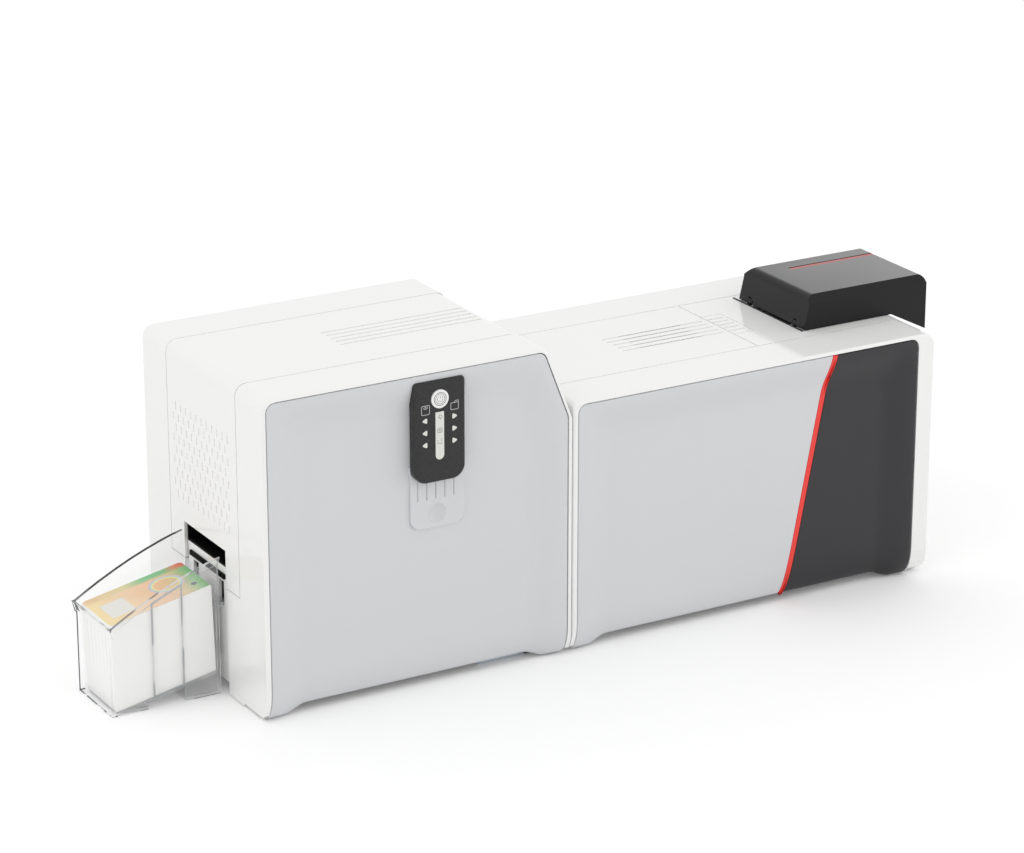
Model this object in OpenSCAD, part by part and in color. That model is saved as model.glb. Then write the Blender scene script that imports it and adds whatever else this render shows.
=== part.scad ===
// Card printer with an inline finishing unit.
// The printer stands on the right with its card feeder on top. The finishing unit
// stands on the left, carries the control panel and drops cards into a clear hopper.
// X runs along the row of the two units, the front is -Y, and Z = 0 is the table.

/* [Overall] */
// Depth of both units, front to back
body_d = 207; // [205:1:220]
// Width of the centre strip that holds the covers
strip_w = 119.4; // [118:0.2:122]
// Wall thickness of the mouldings
wall = 2.6; // [2.2:0.1:3]
// Gap between neighbouring mouldings
seam = 0.8; // [0.6:0.1:1.2]
// Height of the mouldings above the table at the ends of a unit
foot_rise = 1; // [0.6:0.1:2]
// Height of the mouldings above the table along the middle of a unit
belly_rise = 6.8; // [6:0.1:8]
// Height of the rubber feet
foot_h = 8.4; // [8:0.1:10]
// Radius of the long upper edges
edge_r = 9; // [7:0.5:11]

/* [Finishing unit] */
// Width of the finishing unit
fin_w = 266.3; // [264:0.1:280]
// Height of the finishing unit
fin_h = 258.8; // [256:0.1:270]
// How far the slope at the top right leans in
slope_w = 24; // [20:1:28]
// How far the slope reaches down
slope_h = 60; // [56:1:66]
// Lowest edge of the hinged top cover on the left face
cover_low = 88.8; // [86:0.2:90]

/* [Printer] */
// Width of the printer without the feeder's overhang
prn_w = 341.7; // [341.6:0.1:350]
// Height of the printer
prn_h = 210.5; // [208:0.5:216]
// Length of the printer's hinged cover
cover_l = 198; // [196:0.2:199]

/* [Doors] */
// White rim between a door and the outer edge of its unit
rim = 4; // [3.6:0.1:6]
// White rim between a door and the neighbouring unit
rim_inner = 4.4; // [3.6:0.1:6]
// White rim above a door
rim_top = 3.1; // [2.6:0.1:5]
// White rim at the right of the printer's door
rim_right = 16.5; // [14:0.5:19]
// Depth of the dish in a door
dish = 7; // [4:0.5:8]
// How far a door's lower edge curls back
curl = 13; // [11:0.2:13.2]
// Height over which the lower edge curls
curl_h = 26; // [18:1:30]
// Depth of the pocket that a door lies in
pocket = 14.4; // [14.2:0.1:16]
// Radius of a door's corners
door_r = 7; // [5:0.5:9]
// Thickness of a door
door_t = 2.4; // [2:0.1:2.8]
// Width of the accent strip
accent_w = 4.8; // [3:0.2:6]

/* [Cards and path] */
// Length of a card
card_l = 85.6; // [85:0.1:86]
// Width of a card
card_w = 54; // [53.5:0.1:54.2]
// Thickness of a card
card_t = 0.76; // [0.6:0.02:0.84]
// Corner radius of a card
card_r = 3.2; // [2:0.1:4]
// Height of the card path
card_z = 112.5; // [112:0.1:114]
// Cards waiting in the feeder
feed_count = 60; // [10:1:70]
// Finished cards in the hopper
hop_count = 92; // [20:1:93]

/* [Rollers] */
// Diameter of the driven rollers
roller_d = 14; // [13:0.5:15]
// Diameter of the heated roller
heat_d = 30; // [26:1:34]
// Diameter of the cleaning roller
clean_d = 16; // [14:0.5:18]
// Diameter of the roller shafts
shaft_d = 6; // [5:0.5:7]
// Running clearance of a shaft in its bore, on each side
run = 0.05; // [0.03:0.01:0.08]
// Diameter of the belt pulleys
pulley_d = 12; // [11:0.5:12.5]
// Thickness of the drive belts
belt_t = 1.2; // [0.8:0.1:1.5]

/* [Feeder] */
// Length of the feeder hood
hood_l = 121.6; // [121.2:0.2:124.6]
// Width of the feeder hood
hood_w = 95.4; // [92:0.2:98]
// Height of the hood above the printer
hood_h = 28.3; // [27:0.1:32]
// Wall thickness of the hood
hood_t = 2.2; // [1.8:0.1:2.4]

/* [Hopper] */
// Reach of the hopper from the left face
hop_l = 97.4; // [97.2:0.2:100]
// Width of the hopper at its rim
hop_w = 68; // [66:0.2:69]
// Wall thickness of the hopper
hop_t = 1.6; // [1.4:0.1:1.8]
// Tilt of the cards in the hopper, degrees
hop_tilt = 11.2; // [10:0.1:11.4]

/* [Panel] */
// Width of the control panel
panel_w = 44; // [43:0.5:46]
// Height of the control panel
panel_h = 81; // [80:0.5:84]
// Diameter of the power button
button_d = 14.6; // [13:0.1:15]
// Travel of the power button
button_go = 0.8; // [0.4:0.1:0.8]

/* [Hidden] */

// Places along X are measured from the plane where the two units meet.
half_d = body_d / 2;
seam_y = strip_w / 2;
half_seam = seam / 2;
strip_y = seam_y - half_seam;
shell_y = seam_y + half_seam;
fin_left = -fin_w;
hood_right = prn_w + 30.8;
hood_left = hood_right - hood_l;
middle_x = (fin_left - hop_l + hood_right) / 2;
fit = 0.3;

// Corners of each unit's outline with their radii, counterclockwise from the front
foot_flat = 18;
foot_end = 38;
foot_r = 12;
slope_x = -half_seam - slope_w;
fin_corners = [[fin_left, foot_rise, 3], [fin_left + foot_flat, foot_rise, foot_r],
    [fin_left + foot_end, belly_rise, foot_r], [-foot_end, belly_rise, foot_r],
    [-foot_flat, foot_rise, foot_r], [-half_seam, foot_rise, 3],
    [-half_seam, fin_h - slope_h, 9], [slope_x, fin_h, 6], [fin_left, fin_h, edge_r]];
prn_corners = [[half_seam, foot_rise, 3], [foot_flat, foot_rise, foot_r],
    [foot_end, belly_rise, foot_r], [prn_w - foot_end, belly_rise, foot_r],
    [prn_w - foot_flat, foot_rise, foot_r], [prn_w, foot_rise, 3],
    [prn_w, prn_h, edge_r], [half_seam, prn_h, 4]];

// Corners of the doors, whose bottom edge runs from the first to the second corner
fin_door_corners = [[fin_left + rim, foot_rise, 2], [-half_seam - rim_inner, foot_rise, 2],
    [-half_seam - rim_inner, fin_h - slope_h + 1.5, door_r],
    [slope_x - 2, fin_h - rim_top, door_r],
    [fin_left + rim, fin_h - rim_top, door_r]];
prn_door_corners = [[half_seam + rim_inner, foot_rise, 2],
    [prn_w - rim_right, foot_rise, 2], [prn_w - rim_right, prn_h - rim_top, door_r],
    [half_seam + rim_inner, prn_h - rim_top, door_r]];
door_back = -half_d + pocket;

arc_n = 4;
function unit(v) = v / norm(v);
function left_of(v) = [-v[1], v[0]];
function soft(t) = let (c = min(1, max(0, t))) c * c * (3 - 2 * c);
function xz(p) = [p[0], p[1]];
function turned(v, a) = [v[0] * cos(a) - v[1] * sin(a), v[0] * sin(a) + v[1] * cos(a)];
function before(c, i) = xz(c[(i + len(c) - 1) % len(c)]);
function after(c, i) = xz(c[(i + 1) % len(c)]);
function bisector(u, w) = (left_of(u) + left_of(w)) / (1 + left_of(u) * left_of(w));

// Corners moved inward by d, with their radii following
function inset(c, d) = [for (i = [0 : len(c) - 1])
    let (p = xz(c[i]), u = unit(p - before(c, i)), w = unit(after(c, i) - p),
        out = cross(u, w) > 0 ? 1 : -1, q = p + bisector(u, w) * d)
    [q[0], q[1], max(0.2, c[i][2] - out * d)]];

// Closed outline through the corners, each rounded by an arc
function rounded(c) = [for (i = [0 : len(c) - 1])
    let (p = xz(c[i]), u = unit(p - before(c, i)), w = unit(after(c, i) - p),
        bend = atan2(cross(u, w), u * w), s = bend > 0 ? 1 : -1, r = c[i][2] * s,
        m = p + bisector(u, w) * r)
    for (k = [0 : arc_n]) m - turned(left_of(u), bend * k / arc_n) * r];

// Point where a line from p touches a circle, on the side s
function touch(p, c, r, s) = c + r * turned(unit(p - c), s * acos(r / norm(p - c)));

// Solid through closed rings of equal point count, each a list of 3D points
module skin(rings) {
    n = len(rings[0]);
    last = (len(rings) - 1) * n;
    points = [for (ring = rings) each ring];
    sides = [for (k = [0 : len(rings) - 2]) for (i = [0 : n - 1])
        let (a = k * n + i, b = k * n + (i + 1) % n) each [[a, b, b + n], [a, b + n, a + n]]];
    polyhedron(points, concat([[for (i = [n - 1 : -1 : 0]) i]], sides,
        [[for (i = [0 : n - 1]) last + i]]));
}

// Extrusion of a shape in X and Z, from y0 back to y1
module slab(y0, y1) {
    translate([0, y1, 0])
        rotate([90, 0, 0])
            linear_extrude(y1 - y0)
                children();
}

// Extrusion of a shape in Y and Z, from x0 to x1
module run_x(x0, x1) {
    translate([x0, 0, 0])
        rotate([90, 0, 90])
            linear_extrude(x1 - x0)
                children();
}

module bar_y(p, d, y0, y1) {
    translate([p[0], y1, p[1]])
        rotate([90, 0, 0])
            cylinder(h = y1 - y0, d = d, $fn = 48);
}

module box(x0, x1, y0, y1, z0, z1) {
    translate([x0, y0, z0])
        cube([x1 - x0, y1 - y0, z1 - z0]);
}

module both_sides() {
    children();
    mirror([0, 1, 0])
        children();
}

// ---- Doors: dished panels whose lower edge curls back under the unit ----

// Height of the lower edge at x, raised between the two ends of the door
function low_edge(x, c) = (belly_rise - foot_rise) * soft(min(x - c[0][0] - foot_flat + rim,
    c[1][0] + rim_inner - foot_flat - x) / (foot_end - foot_flat));

// Distance of a point from the nearest edge of the door, its bottom edge left out
function edge_gap(p, c) = min([for (i = [1 : len(c) - 1])
    left_of(unit(after(c, i) - xz(c[i]))) * (p - xz(c[i]))]);

function curl_in(t) = t >= 1 ? 0 : 1 - sqrt(1 - pow(1 - t, 2));

function door_y(p, c) = let (s = dish * soft((edge_gap(p, c) - 2) / 30),
    e = curl_in(max(0, p[1] - foot_rise) / curl_h)) -half_d + s + (curl - s) * e;

// Ring of points at an inset, with extra points along the bottom for its rise
bottom_steps = [0.03, 0.06, 0.09, 0.12, 0.15, 0.5, 0.85, 0.88, 0.91, 0.94, 0.97];
function door_ring(c, d) = let (a = rounded(inset(c, d)))
    concat([for (k = [0 : arc_n]) a[k]],
        [for (t = bottom_steps) a[arc_n] * (1 - t) + a[arc_n + 1] * t],
        [for (k = [arc_n + 1 : len(a) - 1]) a[k]]);

// A ring of the face, pushed back by dy, with the rise of the lower edge faded in
function face_ring(c, d, dy) = [for (p = door_ring(c, d))
    [p[0], door_y(p, c) + dy, p[1] + low_edge(p[0], c) * soft(1 - (p[1] - foot_rise) / 50)]];

// A ring of the flat back edge
function back_ring(c, d) = [for (p = door_ring(c, d))
    [p[0], door_back - fit, p[1] + low_edge(p[0], c) * soft(1 - (p[1] - foot_rise) / 50)]];

module door(c) {
    skin(concat([for (d = [41, 32, 24, 17, 10, 4, 1]) face_ring(c, d, 0)],
        [face_ring(c, 0, 0.7), back_ring(c, 0), back_ring(c, door_t)],
        [for (d = [door_t + 1.4, 14, 26, 41]) face_ring(c, d, door_t)]));
}

// ---- Side shells: white mouldings that carry a door and close the front or rear ----

// Region below the curled lower edge of a front moulding
module curl_cut(x0, x1) {
    run_x(x0, x1)
        polygon(concat([[-half_d - 5, foot_rise + curl_h], [-half_d - 5, -5],
            [-half_d + curl, -5]], [for (t = [0 : 0.2 : 1])
            [-half_d + curl * curl_in(t), foot_rise + curl_h * t]]));
}

// Outline moved by d, with its bottom corners dropped below the table so that it is open
// there; the bottom corners are the first and the one numbered last
function open_below(c, d, last) = let (i = inset(c, d))
    concat([[i[0][0], -2, 0.2], [i[last][0], -2, 0.2]],
        [for (k = [last + 1 : len(c) - 1]) i[k]]);

module side_shell(c, door_c) {
    difference() {
        skin([for (r = [[2, 0], [0.6, 0.6], [0, 2], [0, half_d]])
            [for (p = rounded(inset(c, r[0]))) [p[0], -half_d + r[1], p[1]]]]);
        box(c[0][0] - 1, c[5][0] + 1, -shell_y, 1, -1, fin_h + 1);
        slab(-half_d - 1, door_back)
            polygon(rounded(open_below(door_c, -seam, 1)));
        slab(door_back + wall, -shell_y + 1)
            polygon(rounded(open_below(c, wall, 5)));
        curl_cut(c[0][0] - 1, c[5][0] + 1);
    }
}

// ---- Base pans, feet and inner frames ----

base_y = half_d - pocket - wall - fit;
base_top = foot_h + wall;
fin_x0 = fin_left + 2 * wall + fit;
fin_x1 = -half_seam - wall - fit;
prn_x0 = half_seam + wall + fit;
prn_x1 = prn_w - wall - fit;

// The two base pans have the same ribs and edges
module base_pan(x0, x1) {
    box(x0, x1, -base_y, base_y, foot_h, base_top);
    both_sides() {
        box(x0, x1, base_y - wall, base_y, base_top, base_top + 6);
        box(x0, x1, frame_y + frame_t, frame_y + frame_t + wall, base_top, base_top + 4);
    }
}

foot_d = 16;
foot_in = 26;
foot_places = [for (x = [fin_left + foot_in, -foot_in, foot_in, prn_w - foot_in],
    y = [-1, 1]) [x, y * (base_y - 12)]];

module rubber_feet() {
    color("#2b2b2d")
        for (p = foot_places)
            translate([p[0], p[1], 0]) {
                cylinder(h = 1.2, d1 = foot_d - 2, d2 = foot_d, $fn = 40);
                translate([0, 0, 1.2])
                    cylinder(h = foot_h - 1.2, d = foot_d, $fn = 40);
            }
}

// Frames stand inside the centre strip and carry every shaft
frame_t = 2;
frame_y = 52.5;
bore_d = shaft_d + 2 * run;
low_z = card_z - roller_d / 2;
nip_z = card_z + card_t;
pinch_z = nip_z + roller_d / 2;
in_x = -26;
heat_x = -128;
out_x = fin_left + 45;
heat_z = nip_z + heat_d / 2;
film_z = 195;
film_supply_p = [-88, film_z];
film_takeup_p = [-172, film_z];
spool_shaft = 8;

hinge_r = 8;
hinge_pin = 5;
fin_hinge = [slope_x - 7, fin_h - hinge_r];
prn_hinge = [seam + hinge_r, prn_h - hinge_r];

module bores(places, d) {
    for (p = places)
        bar_y(p, d, -shell_y, shell_y);
}

fin_guides = [[-103.5, 124], [-152.5, 124]];
guide_d = 5;
fin_shafts = [[in_x, low_z], [in_x, pinch_z], [heat_x, low_z], [heat_x, heat_z],
    [out_x, low_z], [out_x, pinch_z]];

module fin_plate() {
    difference() {
        slab(-frame_y - frame_t, -frame_y)
            difference() {
                union() {
                    polygon([[fin_x0 + 4, base_top], [fin_x1 - 2, base_top],
                        [fin_x1 - 2, fin_h - slope_h - 9], [fin_hinge[0] + 9, fin_hinge[1] - 14],
                        [fin_hinge[0] + 2, fin_hinge[1] - 10], [fin_hinge[0] + 2, fin_hinge[1]],
                        [fin_hinge[0] - 4.6, fin_hinge[1]], [fin_hinge[0] - 14, film_z + 24],
                        [fin_x0 + 30, film_z + 24], [fin_x0 + 4, film_z]]);
                    translate(fin_hinge)
                        circle(r = 4.6, $fn = 48);
                }
                for (x = [-206, -66])
                    translate([x, 45])
                        circle(r = 24, $fn = 48);
                translate([heat_x, 45])
                    circle(r = 24, $fn = 48);
                translate([-222, 165])
                    circle(r = 18, $fn = 48);
            }
        bores(fin_shafts, bore_d);
        bores([film_supply_p, film_takeup_p], spool_shaft + 2 * run);
        bores([fin_hinge], hinge_pin);
    }
}

feed_x = hood_left + 22;
clean_x = hood_left - 24;
platen_x = 120.7;
exit_x = 30;
clean_z = nip_z + clean_d / 2;
ribbon_z = 160;
ribbon_supply_p = [173, ribbon_z];
ribbon_takeup_p = [60, ribbon_z];
prn_guides = [[101, 124.5], [146.5, 126.5]];
prn_shafts = [[exit_x, low_z], [exit_x, pinch_z], [platen_x, low_z], [clean_x, low_z],
    [clean_x, clean_z], [feed_x, low_z]];

module prn_plate() {
    difference() {
        slab(-frame_y - frame_t, -frame_y)
            difference() {
                union() {
                    polygon([[prn_x0 + 4, base_top], [prn_x1 - 4, base_top],
                        [prn_x1 - 4, prn_h - 30], [prn_x1 - 16, prn_h - wall],
                        [cover_l + 28, prn_h - wall], [cover_l + 10, ribbon_z + 24],
                        [prn_hinge[0] + 16, ribbon_z + 24],
                        [prn_hinge[0] + 4.6, prn_hinge[1]], [prn_hinge[0] - 0.5, prn_hinge[1]],
                        [prn_hinge[0] - 0.5, prn_hinge[1] - 11], [prn_x0 + 4, prn_hinge[1] - 16]]);
                    translate(prn_hinge)
                        circle(r = 4.6, $fn = 48);
                }
                for (x = [52, platen_x, 190, 262, 318])
                    translate([x, 52])
                        circle(r = x == 318 ? 14 : 24, $fn = 48);
                translate([225, 165])
                    circle(r = 16, $fn = 48);
            }
        bores(prn_shafts, bore_d);
        bores([ribbon_supply_p, ribbon_takeup_p], spool_shaft + 2 * run);
        bores([prn_hinge], hinge_pin);
    }
}

// ---- Finishing unit ----

module fin_base() {
    color("#3a3b3d")
        base_pan(fin_x0, fin_x1);
}

notch_y = 36;

module fin_shell() {
    side_shell(fin_corners, fin_door_corners);
    difference() {
        box(fin_left, fin_left + wall, -shell_y - 2, -notch_y - seam, foot_rise,
            cover_low - seam);
        curl_cut(fin_left - 1, fin_left + wall + 1);
    }
}

module fin_front_shell() {
    color("#f4f4f3")
        fin_shell();
}

module fin_rear_shell() {
    color("#f4f4f3")
        mirror([0, 1, 0])
            fin_shell();
}

// Places of the control panel and of the tab that it docks on
panel_x = -118.5;
panel_top = fin_h - 8.2;
dock_x = panel_x + 1.6;
dock_w = 47;
dock_low = panel_top - panel_h - 39;
panel_t = 7.2;
dock_proud = 1.8;
dock_front = dish - dock_proud - half_d;
panel_low = panel_top - panel_h;

module dock_shape(grow) {
    offset(delta = grow)
        union() {
            polygon(rounded([[dock_x - dock_w / 2, dock_low, 9],
                [dock_x + dock_w / 2, dock_low, 9],
                [dock_x + dock_w / 2, panel_low + 12, 0.2],
                [dock_x - dock_w / 2, panel_low + 12, 0.2]]));
            translate([panel_x - panel_w / 2, panel_low])
                square([panel_w, panel_h]);
        }
}

module fin_front_door() {
    color("#cfd0d3")
        difference() {
            door(fin_door_corners);
            slab(-half_d - 1, door_back)
                dock_shape(0.4);
        }
}

module fin_rear_door() {
    color("#cfd0d3")
        mirror([0, 1, 0])
            door(fin_door_corners);
}

// The top cover is one bent panel: the upper left face, the top and a rounded hinge end
cover_end = fin_hinge[0] + hinge_r;

module cover_band(t) {
    difference() {
        polygon(concat([[cover_end, fin_hinge[1]]],
            [for (a = [15 : 15 : 75]) fin_hinge + hinge_r * [cos(a), sin(a)]],
            [[fin_hinge[0], fin_h]],
            [for (a = [90 : 15 : 180]) [fin_left + edge_r + edge_r * cos(a),
                fin_h - edge_r + edge_r * sin(a)]],
            [[fin_left, cover_low], [fin_hinge[0], cover_low]]));
        polygon(concat([[cover_end - t, fin_hinge[1]]],
            [for (a = [15 : 15 : 75]) fin_hinge + (hinge_r - t) * [cos(a), sin(a)]],
            [[fin_hinge[0], fin_h - t]],
            [for (a = [90 : 15 : 180]) [fin_left + edge_r + (edge_r - t) * cos(a),
                fin_h - edge_r + (edge_r - t) * sin(a)]],
            [[fin_left + t, cover_low - 1], [cover_end - t, cover_low - 1]]));
        translate([fin_hinge[0] - 0.01, cover_low - 2])
            square([20, fin_hinge[1] - cover_low + 2]);
    }
}

skirt = 9;

module fin_skirt() {
    slab(-strip_y, -strip_y + wall)
        difference() {
            union() {
                translate([fin_left + wall, fin_h - wall - skirt])
                    square([fin_hinge[0] - fin_left - wall, skirt]);
                translate([fin_left + wall, cover_low])
                    square([skirt, fin_h - cover_low - edge_r]);
                translate(fin_hinge)
                    circle(r = hinge_r - wall, $fn = 48);
            }
            translate([fin_left + edge_r, fin_h - edge_r])
                difference() {
                    translate([-2 * edge_r, 0])
                        square(2 * edge_r);
                    circle(r = edge_r - wall, $fn = 48);
                    translate([0, -edge_r])
                        square(2 * edge_r);
                }
            translate(fin_hinge)
                circle(d = hinge_pin + 2 * run, $fn = 48);
        }
}

vent_pitch = 8;
vent_w = 2;
vent_y = [for (k = [-2 : 2]) k * vent_pitch];

module fin_top_cover() {
    color("#f4f4f3")
        difference() {
            union() {
                slab(-strip_y, strip_y)
                    cover_band(wall);
                both_sides()
                    fin_skirt();
            }
            for (y = vent_y)
                box(fin_left + 111.5, fin_hinge[0], y - vent_w / 2, y + vent_w / 2,
                    fin_h - 1.2, fin_h + 1);
            box(fin_left - 1, fin_left + wall + 1, -notch_y, notch_y, cover_low - 1,
                chute_top + seam);
            for (row = [0 : 8], k = [-5 : 5])
                box(fin_left - 1, fin_left + 0.6, k * 9 + (row % 2) * 4.5 - 0.8,
                    k * 9 + (row % 2) * 4.5 + 0.8, 136 + row * 9, 142 + row * 9);
        }
}

// Slot surround: the recessed face below the notch, with windows for the hopper's hooks
face_x = fin_left + wall;
face_top = 103;
chute_top = 118.1;
hook_y = 22;
hook_w = 8;
hook_z = 70;
hop_lift = 14;

module fin_face() {
    color("#e4e5e6")
        difference() {
            union() {
                box(face_x, face_x + wall, -44, 44, foot_h, cover_low - 1.5);
                box(face_x, face_x + wall, -notch_y + 0.6, notch_y - 0.6, foot_h, face_top);
            }
            for (s = [-1, 1])
                box(face_x - 1, face_x + wall + 1, s * hook_y - hook_w / 2 - 0.5,
                    s * hook_y + hook_w / 2 + 0.5, hook_z, hook_z + hop_lift + 6);
        }
}

// Tunnel that guides a card out, with a comb below it that strips static
module output_chute() {
    tunnel = 33;
    t = 1.6;
    half = notch_y - 0.6;
    color("#1d1d1f") {
        difference() {
            box(face_x, face_x + tunnel, -half, half, face_top, chute_top);
            box(face_x - 1, face_x + tunnel + 1, -half + t, half - t, face_top + t,
                chute_top - t);
        }
        difference() {
            box(face_x - 1.8, face_x, -30, 30, 93, 97);
            for (k = [-12 : 12])
                box(face_x - 3, face_x - 0.8, k * 2.4 - 0.6, k * 2.4 + 0.6, 92, 98);
        }
    }
}

// Closing plate on the slope and between the units, with a window for the card
path_window = 32;

module fin_slope_cap() {
    slope = unit([-slope_w, slope_h]);
    inner = left_of(slope) * wall;
    top_p = [slope_x, fin_h] - slope * 10.6;
    color("#f4f4f3")
        difference() {
            slab(-strip_y, strip_y)
                polygon([[-half_seam - wall, foot_h], [-half_seam, foot_h],
                    [-half_seam, fin_h - slope_h], top_p, top_p + inner,
                    [-half_seam - wall, fin_h - slope_h - 0.5]]);
            box(-half_seam - wall - 1, half_seam, -path_window, path_window,
                card_z - 7, card_z + 8);
        }
}

module fin_frame_front() {
    color("#a9adb0") {
        fin_plate();
        for (p = fin_guides)
            bar_y(p, guide_d, -frame_y, frame_y);
    }
}

module fin_frame_rear() {
    color("#a9adb0")
        mirror([0, 1, 0])
            fin_plate();
}

// ---- Control panel ----

finger_r = 10.5;

module panel_dock() {
    color("#c6c7ca")
        difference() {
            union() {
                slab(dock_front, door_back)
                    intersection() {
                        dock_shape(0);
                        translate([panel_x - dock_w, dock_low - 1])
                            square([2 * dock_w, panel_low - dock_low + 13]);
                    }
                slab(dock_front, door_back)
                    translate([panel_x - panel_w / 2 + 1, panel_low])
                        square([panel_w - 2, panel_h - 3]);
            }
            for (k = [-2 : 2])
                box(panel_x + k * 7.8 - 0.4, panel_x + k * 7.8 + 0.4, dock_front - 1,
                    dock_front + 0.8, panel_low - 16, panel_low + 2);
            translate([panel_x + 1, dock_front - finger_r * 0.65, dock_low + 11.1])
                sphere(r = finger_r, $fn = 48);
        }
}

button_p = [panel_x - 0.2, panel_top - 14.6];
bar_top = button_p[1] - 10.5;
bar_w = 7.3;
bar_h = 38;
arrow_x = 12.6;
arrow_z = [for (k = [0 : 2]) panel_top - 30.5 - 9.7 * k];

module light_shape(grow) {
    offset(delta = grow) {
        difference() {
            union() {
                translate([button_p[0] - bar_w / 2, bar_top - bar_h + bar_w / 2])
                    square([bar_w, bar_h - bar_w / 2]);
                translate([button_p[0], bar_top - bar_h + bar_w / 2])
                    circle(d = bar_w, $fn = 24);
            }
            translate(button_p)
                circle(d = button_d + 5, $fn = 48);
        }
        for (z = arrow_z, s = [-1, 1])
            translate([button_p[0] + s * arrow_x, z])
                polygon(rounded([for (a = [60, 180, 300])
                    [-s * 3 * cos(a) * (a == 180 ? 1 : 1.2), 3 * sin(a) * s, 0.8]]));
    }
}

module panel_shape() {
    polygon(rounded([[panel_x - panel_w / 2, panel_low, 11],
        [panel_x + panel_w / 2, panel_low, 11], [panel_x + panel_w / 2, panel_top, 3],
        [panel_x - panel_w / 2, panel_top, 3]]));
}

module control_panel() {
    color("#141416")
        difference() {
            union() {
                slab(dock_front - panel_t, dock_front - panel_t + 1)
                    offset(delta = -0.8)
                        panel_shape();
                slab(dock_front - panel_t + 1, dock_front)
                    panel_shape();
            }
            slab(dock_front - panel_t - 1, dock_front + 1) {
                translate(button_p)
                    circle(d = button_d + 0.6, $fn = 48);
                light_shape(0.05);
            }
        }
}

module power_button() {
    face = dock_front - panel_t - 1;
    color("#eef0f0")
        difference() {
            bar_y(button_p, button_d, face, dock_front - button_go - 0.1);
            slab(face - 1, face + 0.4)
                translate(button_p)
                    difference() {
                        circle(d = button_d - 4, $fn = 48);
                        circle(d = button_d - 5, $fn = 48);
                    }
        }
}

module light_guides() {
    color("#dfe6e4")
        slab(dock_front - panel_t - 0.15, dock_front)
            light_shape(0);
}

// ---- Output hopper and the finished cards ----

hop_end = fin_left - 4;
hop_side = 30;
hop_low = 0.6;
hop_low_z = 73.4;
hop_high_z = 113.6;
hop_flare = 8;
stack_right = hop_end - hop_t - 0.6;
stack_z = 19;
tilt_run = card_l * cos(hop_tilt);
grip_x = [fin_left - 59, fin_left - 34];

hop_out = fin_left - hop_l + 2.4;
hop_foot = fin_left - 92.7;
hop_x = [hop_out, hop_out + 9, hop_out + 20, grip_x[0], (grip_x[0] + grip_x[1]) / 2,
    grip_x[1], grip_x[1] + 12, grip_x[1] + 21, hop_end];
rib_count = 6;
rib_pitch = 6.6;

// Height of the rim, which rises in an arc towards the unit
function rim_z(x) = let (t = (x - hop_out) / (hop_end - hop_out))
    hop_low_z + (hop_high_z - hop_low_z) * (1.38 * t - 0.38 * t * t);
function floor_z(x) = stack_z + (x - stack_right) * tan(hop_tilt);

// Side wall between two stations, from the floor up to the flare
module hop_wall(x0, x1, side) {
    slab(-side, hop_t - side)
        polygon(concat([[x0, floor_z(x0) - hop_t], [x1, floor_z(x1) - hop_t]],
            [for (k = [len(hop_x) - 1 : -1 : 0]) let (x = hop_x[k])
                if (x >= x0 && x <= x1) [x, rim_z(x) - hop_flare + 0.1]]));
}

// Foot below the tilted floor
module hop_skirt(x0, x1) {
    slab(-hop_side, hop_t - hop_side)
        polygon([[x0, hop_low], [x1, hop_low], [x1, floor_z(x1) - 0.2],
            [x0, floor_z(x0) - 0.2]]);
}

module output_hopper() {
    color("#dfe8ee", 0.5) {
        both_sides() {
            hop_wall(hop_out, grip_x[0], hop_side);
            hop_wall(grip_x[0], grip_x[1], hop_side - 1);
            hop_wall(grip_x[1], hop_end, hop_side);
            skin([for (k = [len(hop_x) - 1 : -1 : 0]) let (x = hop_x[k], z = rim_z(x))
                [[x, -hop_side, z - hop_flare], [x, hop_t - hop_side, z - hop_flare],
                    [x, hop_t - hop_w / 2, z], [x, -hop_w / 2, z]]]);
            hop_skirt(hop_foot, fin_left - 65);
            hop_skirt(grip_x[1], hop_end);
            box(hop_end - 0.1, face_x + wall + 2 + fit, hook_y - hook_w / 2,
                hook_y + hook_w / 2, hook_z + 0.3, hook_z + 3.3);
            box(face_x + wall + fit, face_x + wall + 2 + fit, hook_y - hook_w / 2,
                hook_y + hook_w / 2, hook_z - 7, hook_z + 0.4);
        }
        slab(-hop_side, hop_side) {
            polygon([[hop_out, floor_z(hop_out) - hop_t], [hop_end, floor_z(hop_end) - hop_t],
                [hop_end, floor_z(hop_end)], [hop_out, floor_z(hop_out)]]);
            polygon([[hop_foot, hop_low], [hop_foot + hop_t, hop_low],
                [hop_out + hop_t, hop_low_z - hop_flare], [hop_out, hop_low_z - hop_flare]]);
            translate([grip_x[1], hop_low])
                square([hop_t, floor_z(grip_x[1]) - hop_low - 0.2]);
        }
        slab(0.5 - hop_w / 2, hop_w / 2 - 0.5)
            polygon([[hop_out, hop_low_z - hop_flare - 0.1],
                [hop_out + hop_t, hop_low_z - hop_flare - 0.1],
                [hop_out + hop_t - 2.4, hop_low_z], [hop_out - 2.4, hop_low_z]]);
        for (k = [0 : rib_count - 1])
            slab(k * rib_pitch - 23.5, k * rib_pitch - 22.5)
                polygon([[hop_foot - 0.4, 16], [hop_foot + 0.8, 16],
                    [hop_out + 1.2, hop_low_z - hop_flare], [hop_out - 0.7, hop_low_z - hop_flare]]);
        box(hop_end - hop_t, hop_end, -hop_side, hop_side, hop_low, 92);
        box(hop_foot, fin_left - 65, -hop_side, hop_side, hop_low, hop_low + hop_t);
        box(grip_x[1], hop_end, -hop_side, hop_side, hop_low, hop_low + hop_t);
    }
}

module card_blank() {
    linear_extrude(card_t)
        difference() {
            translate([0, -card_w / 2])
                square([card_l, card_w]);
            for (x = [0, 1], y = [-1, 1])
                translate([x * card_l, y * card_w / 2])
                    difference() {
                        square(2 * card_r, center = true);
                        translate([(1 - 2 * x) * card_r, -y * card_r])
                            circle(r = card_r, $fn = 32);
                    }
        }
}

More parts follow.
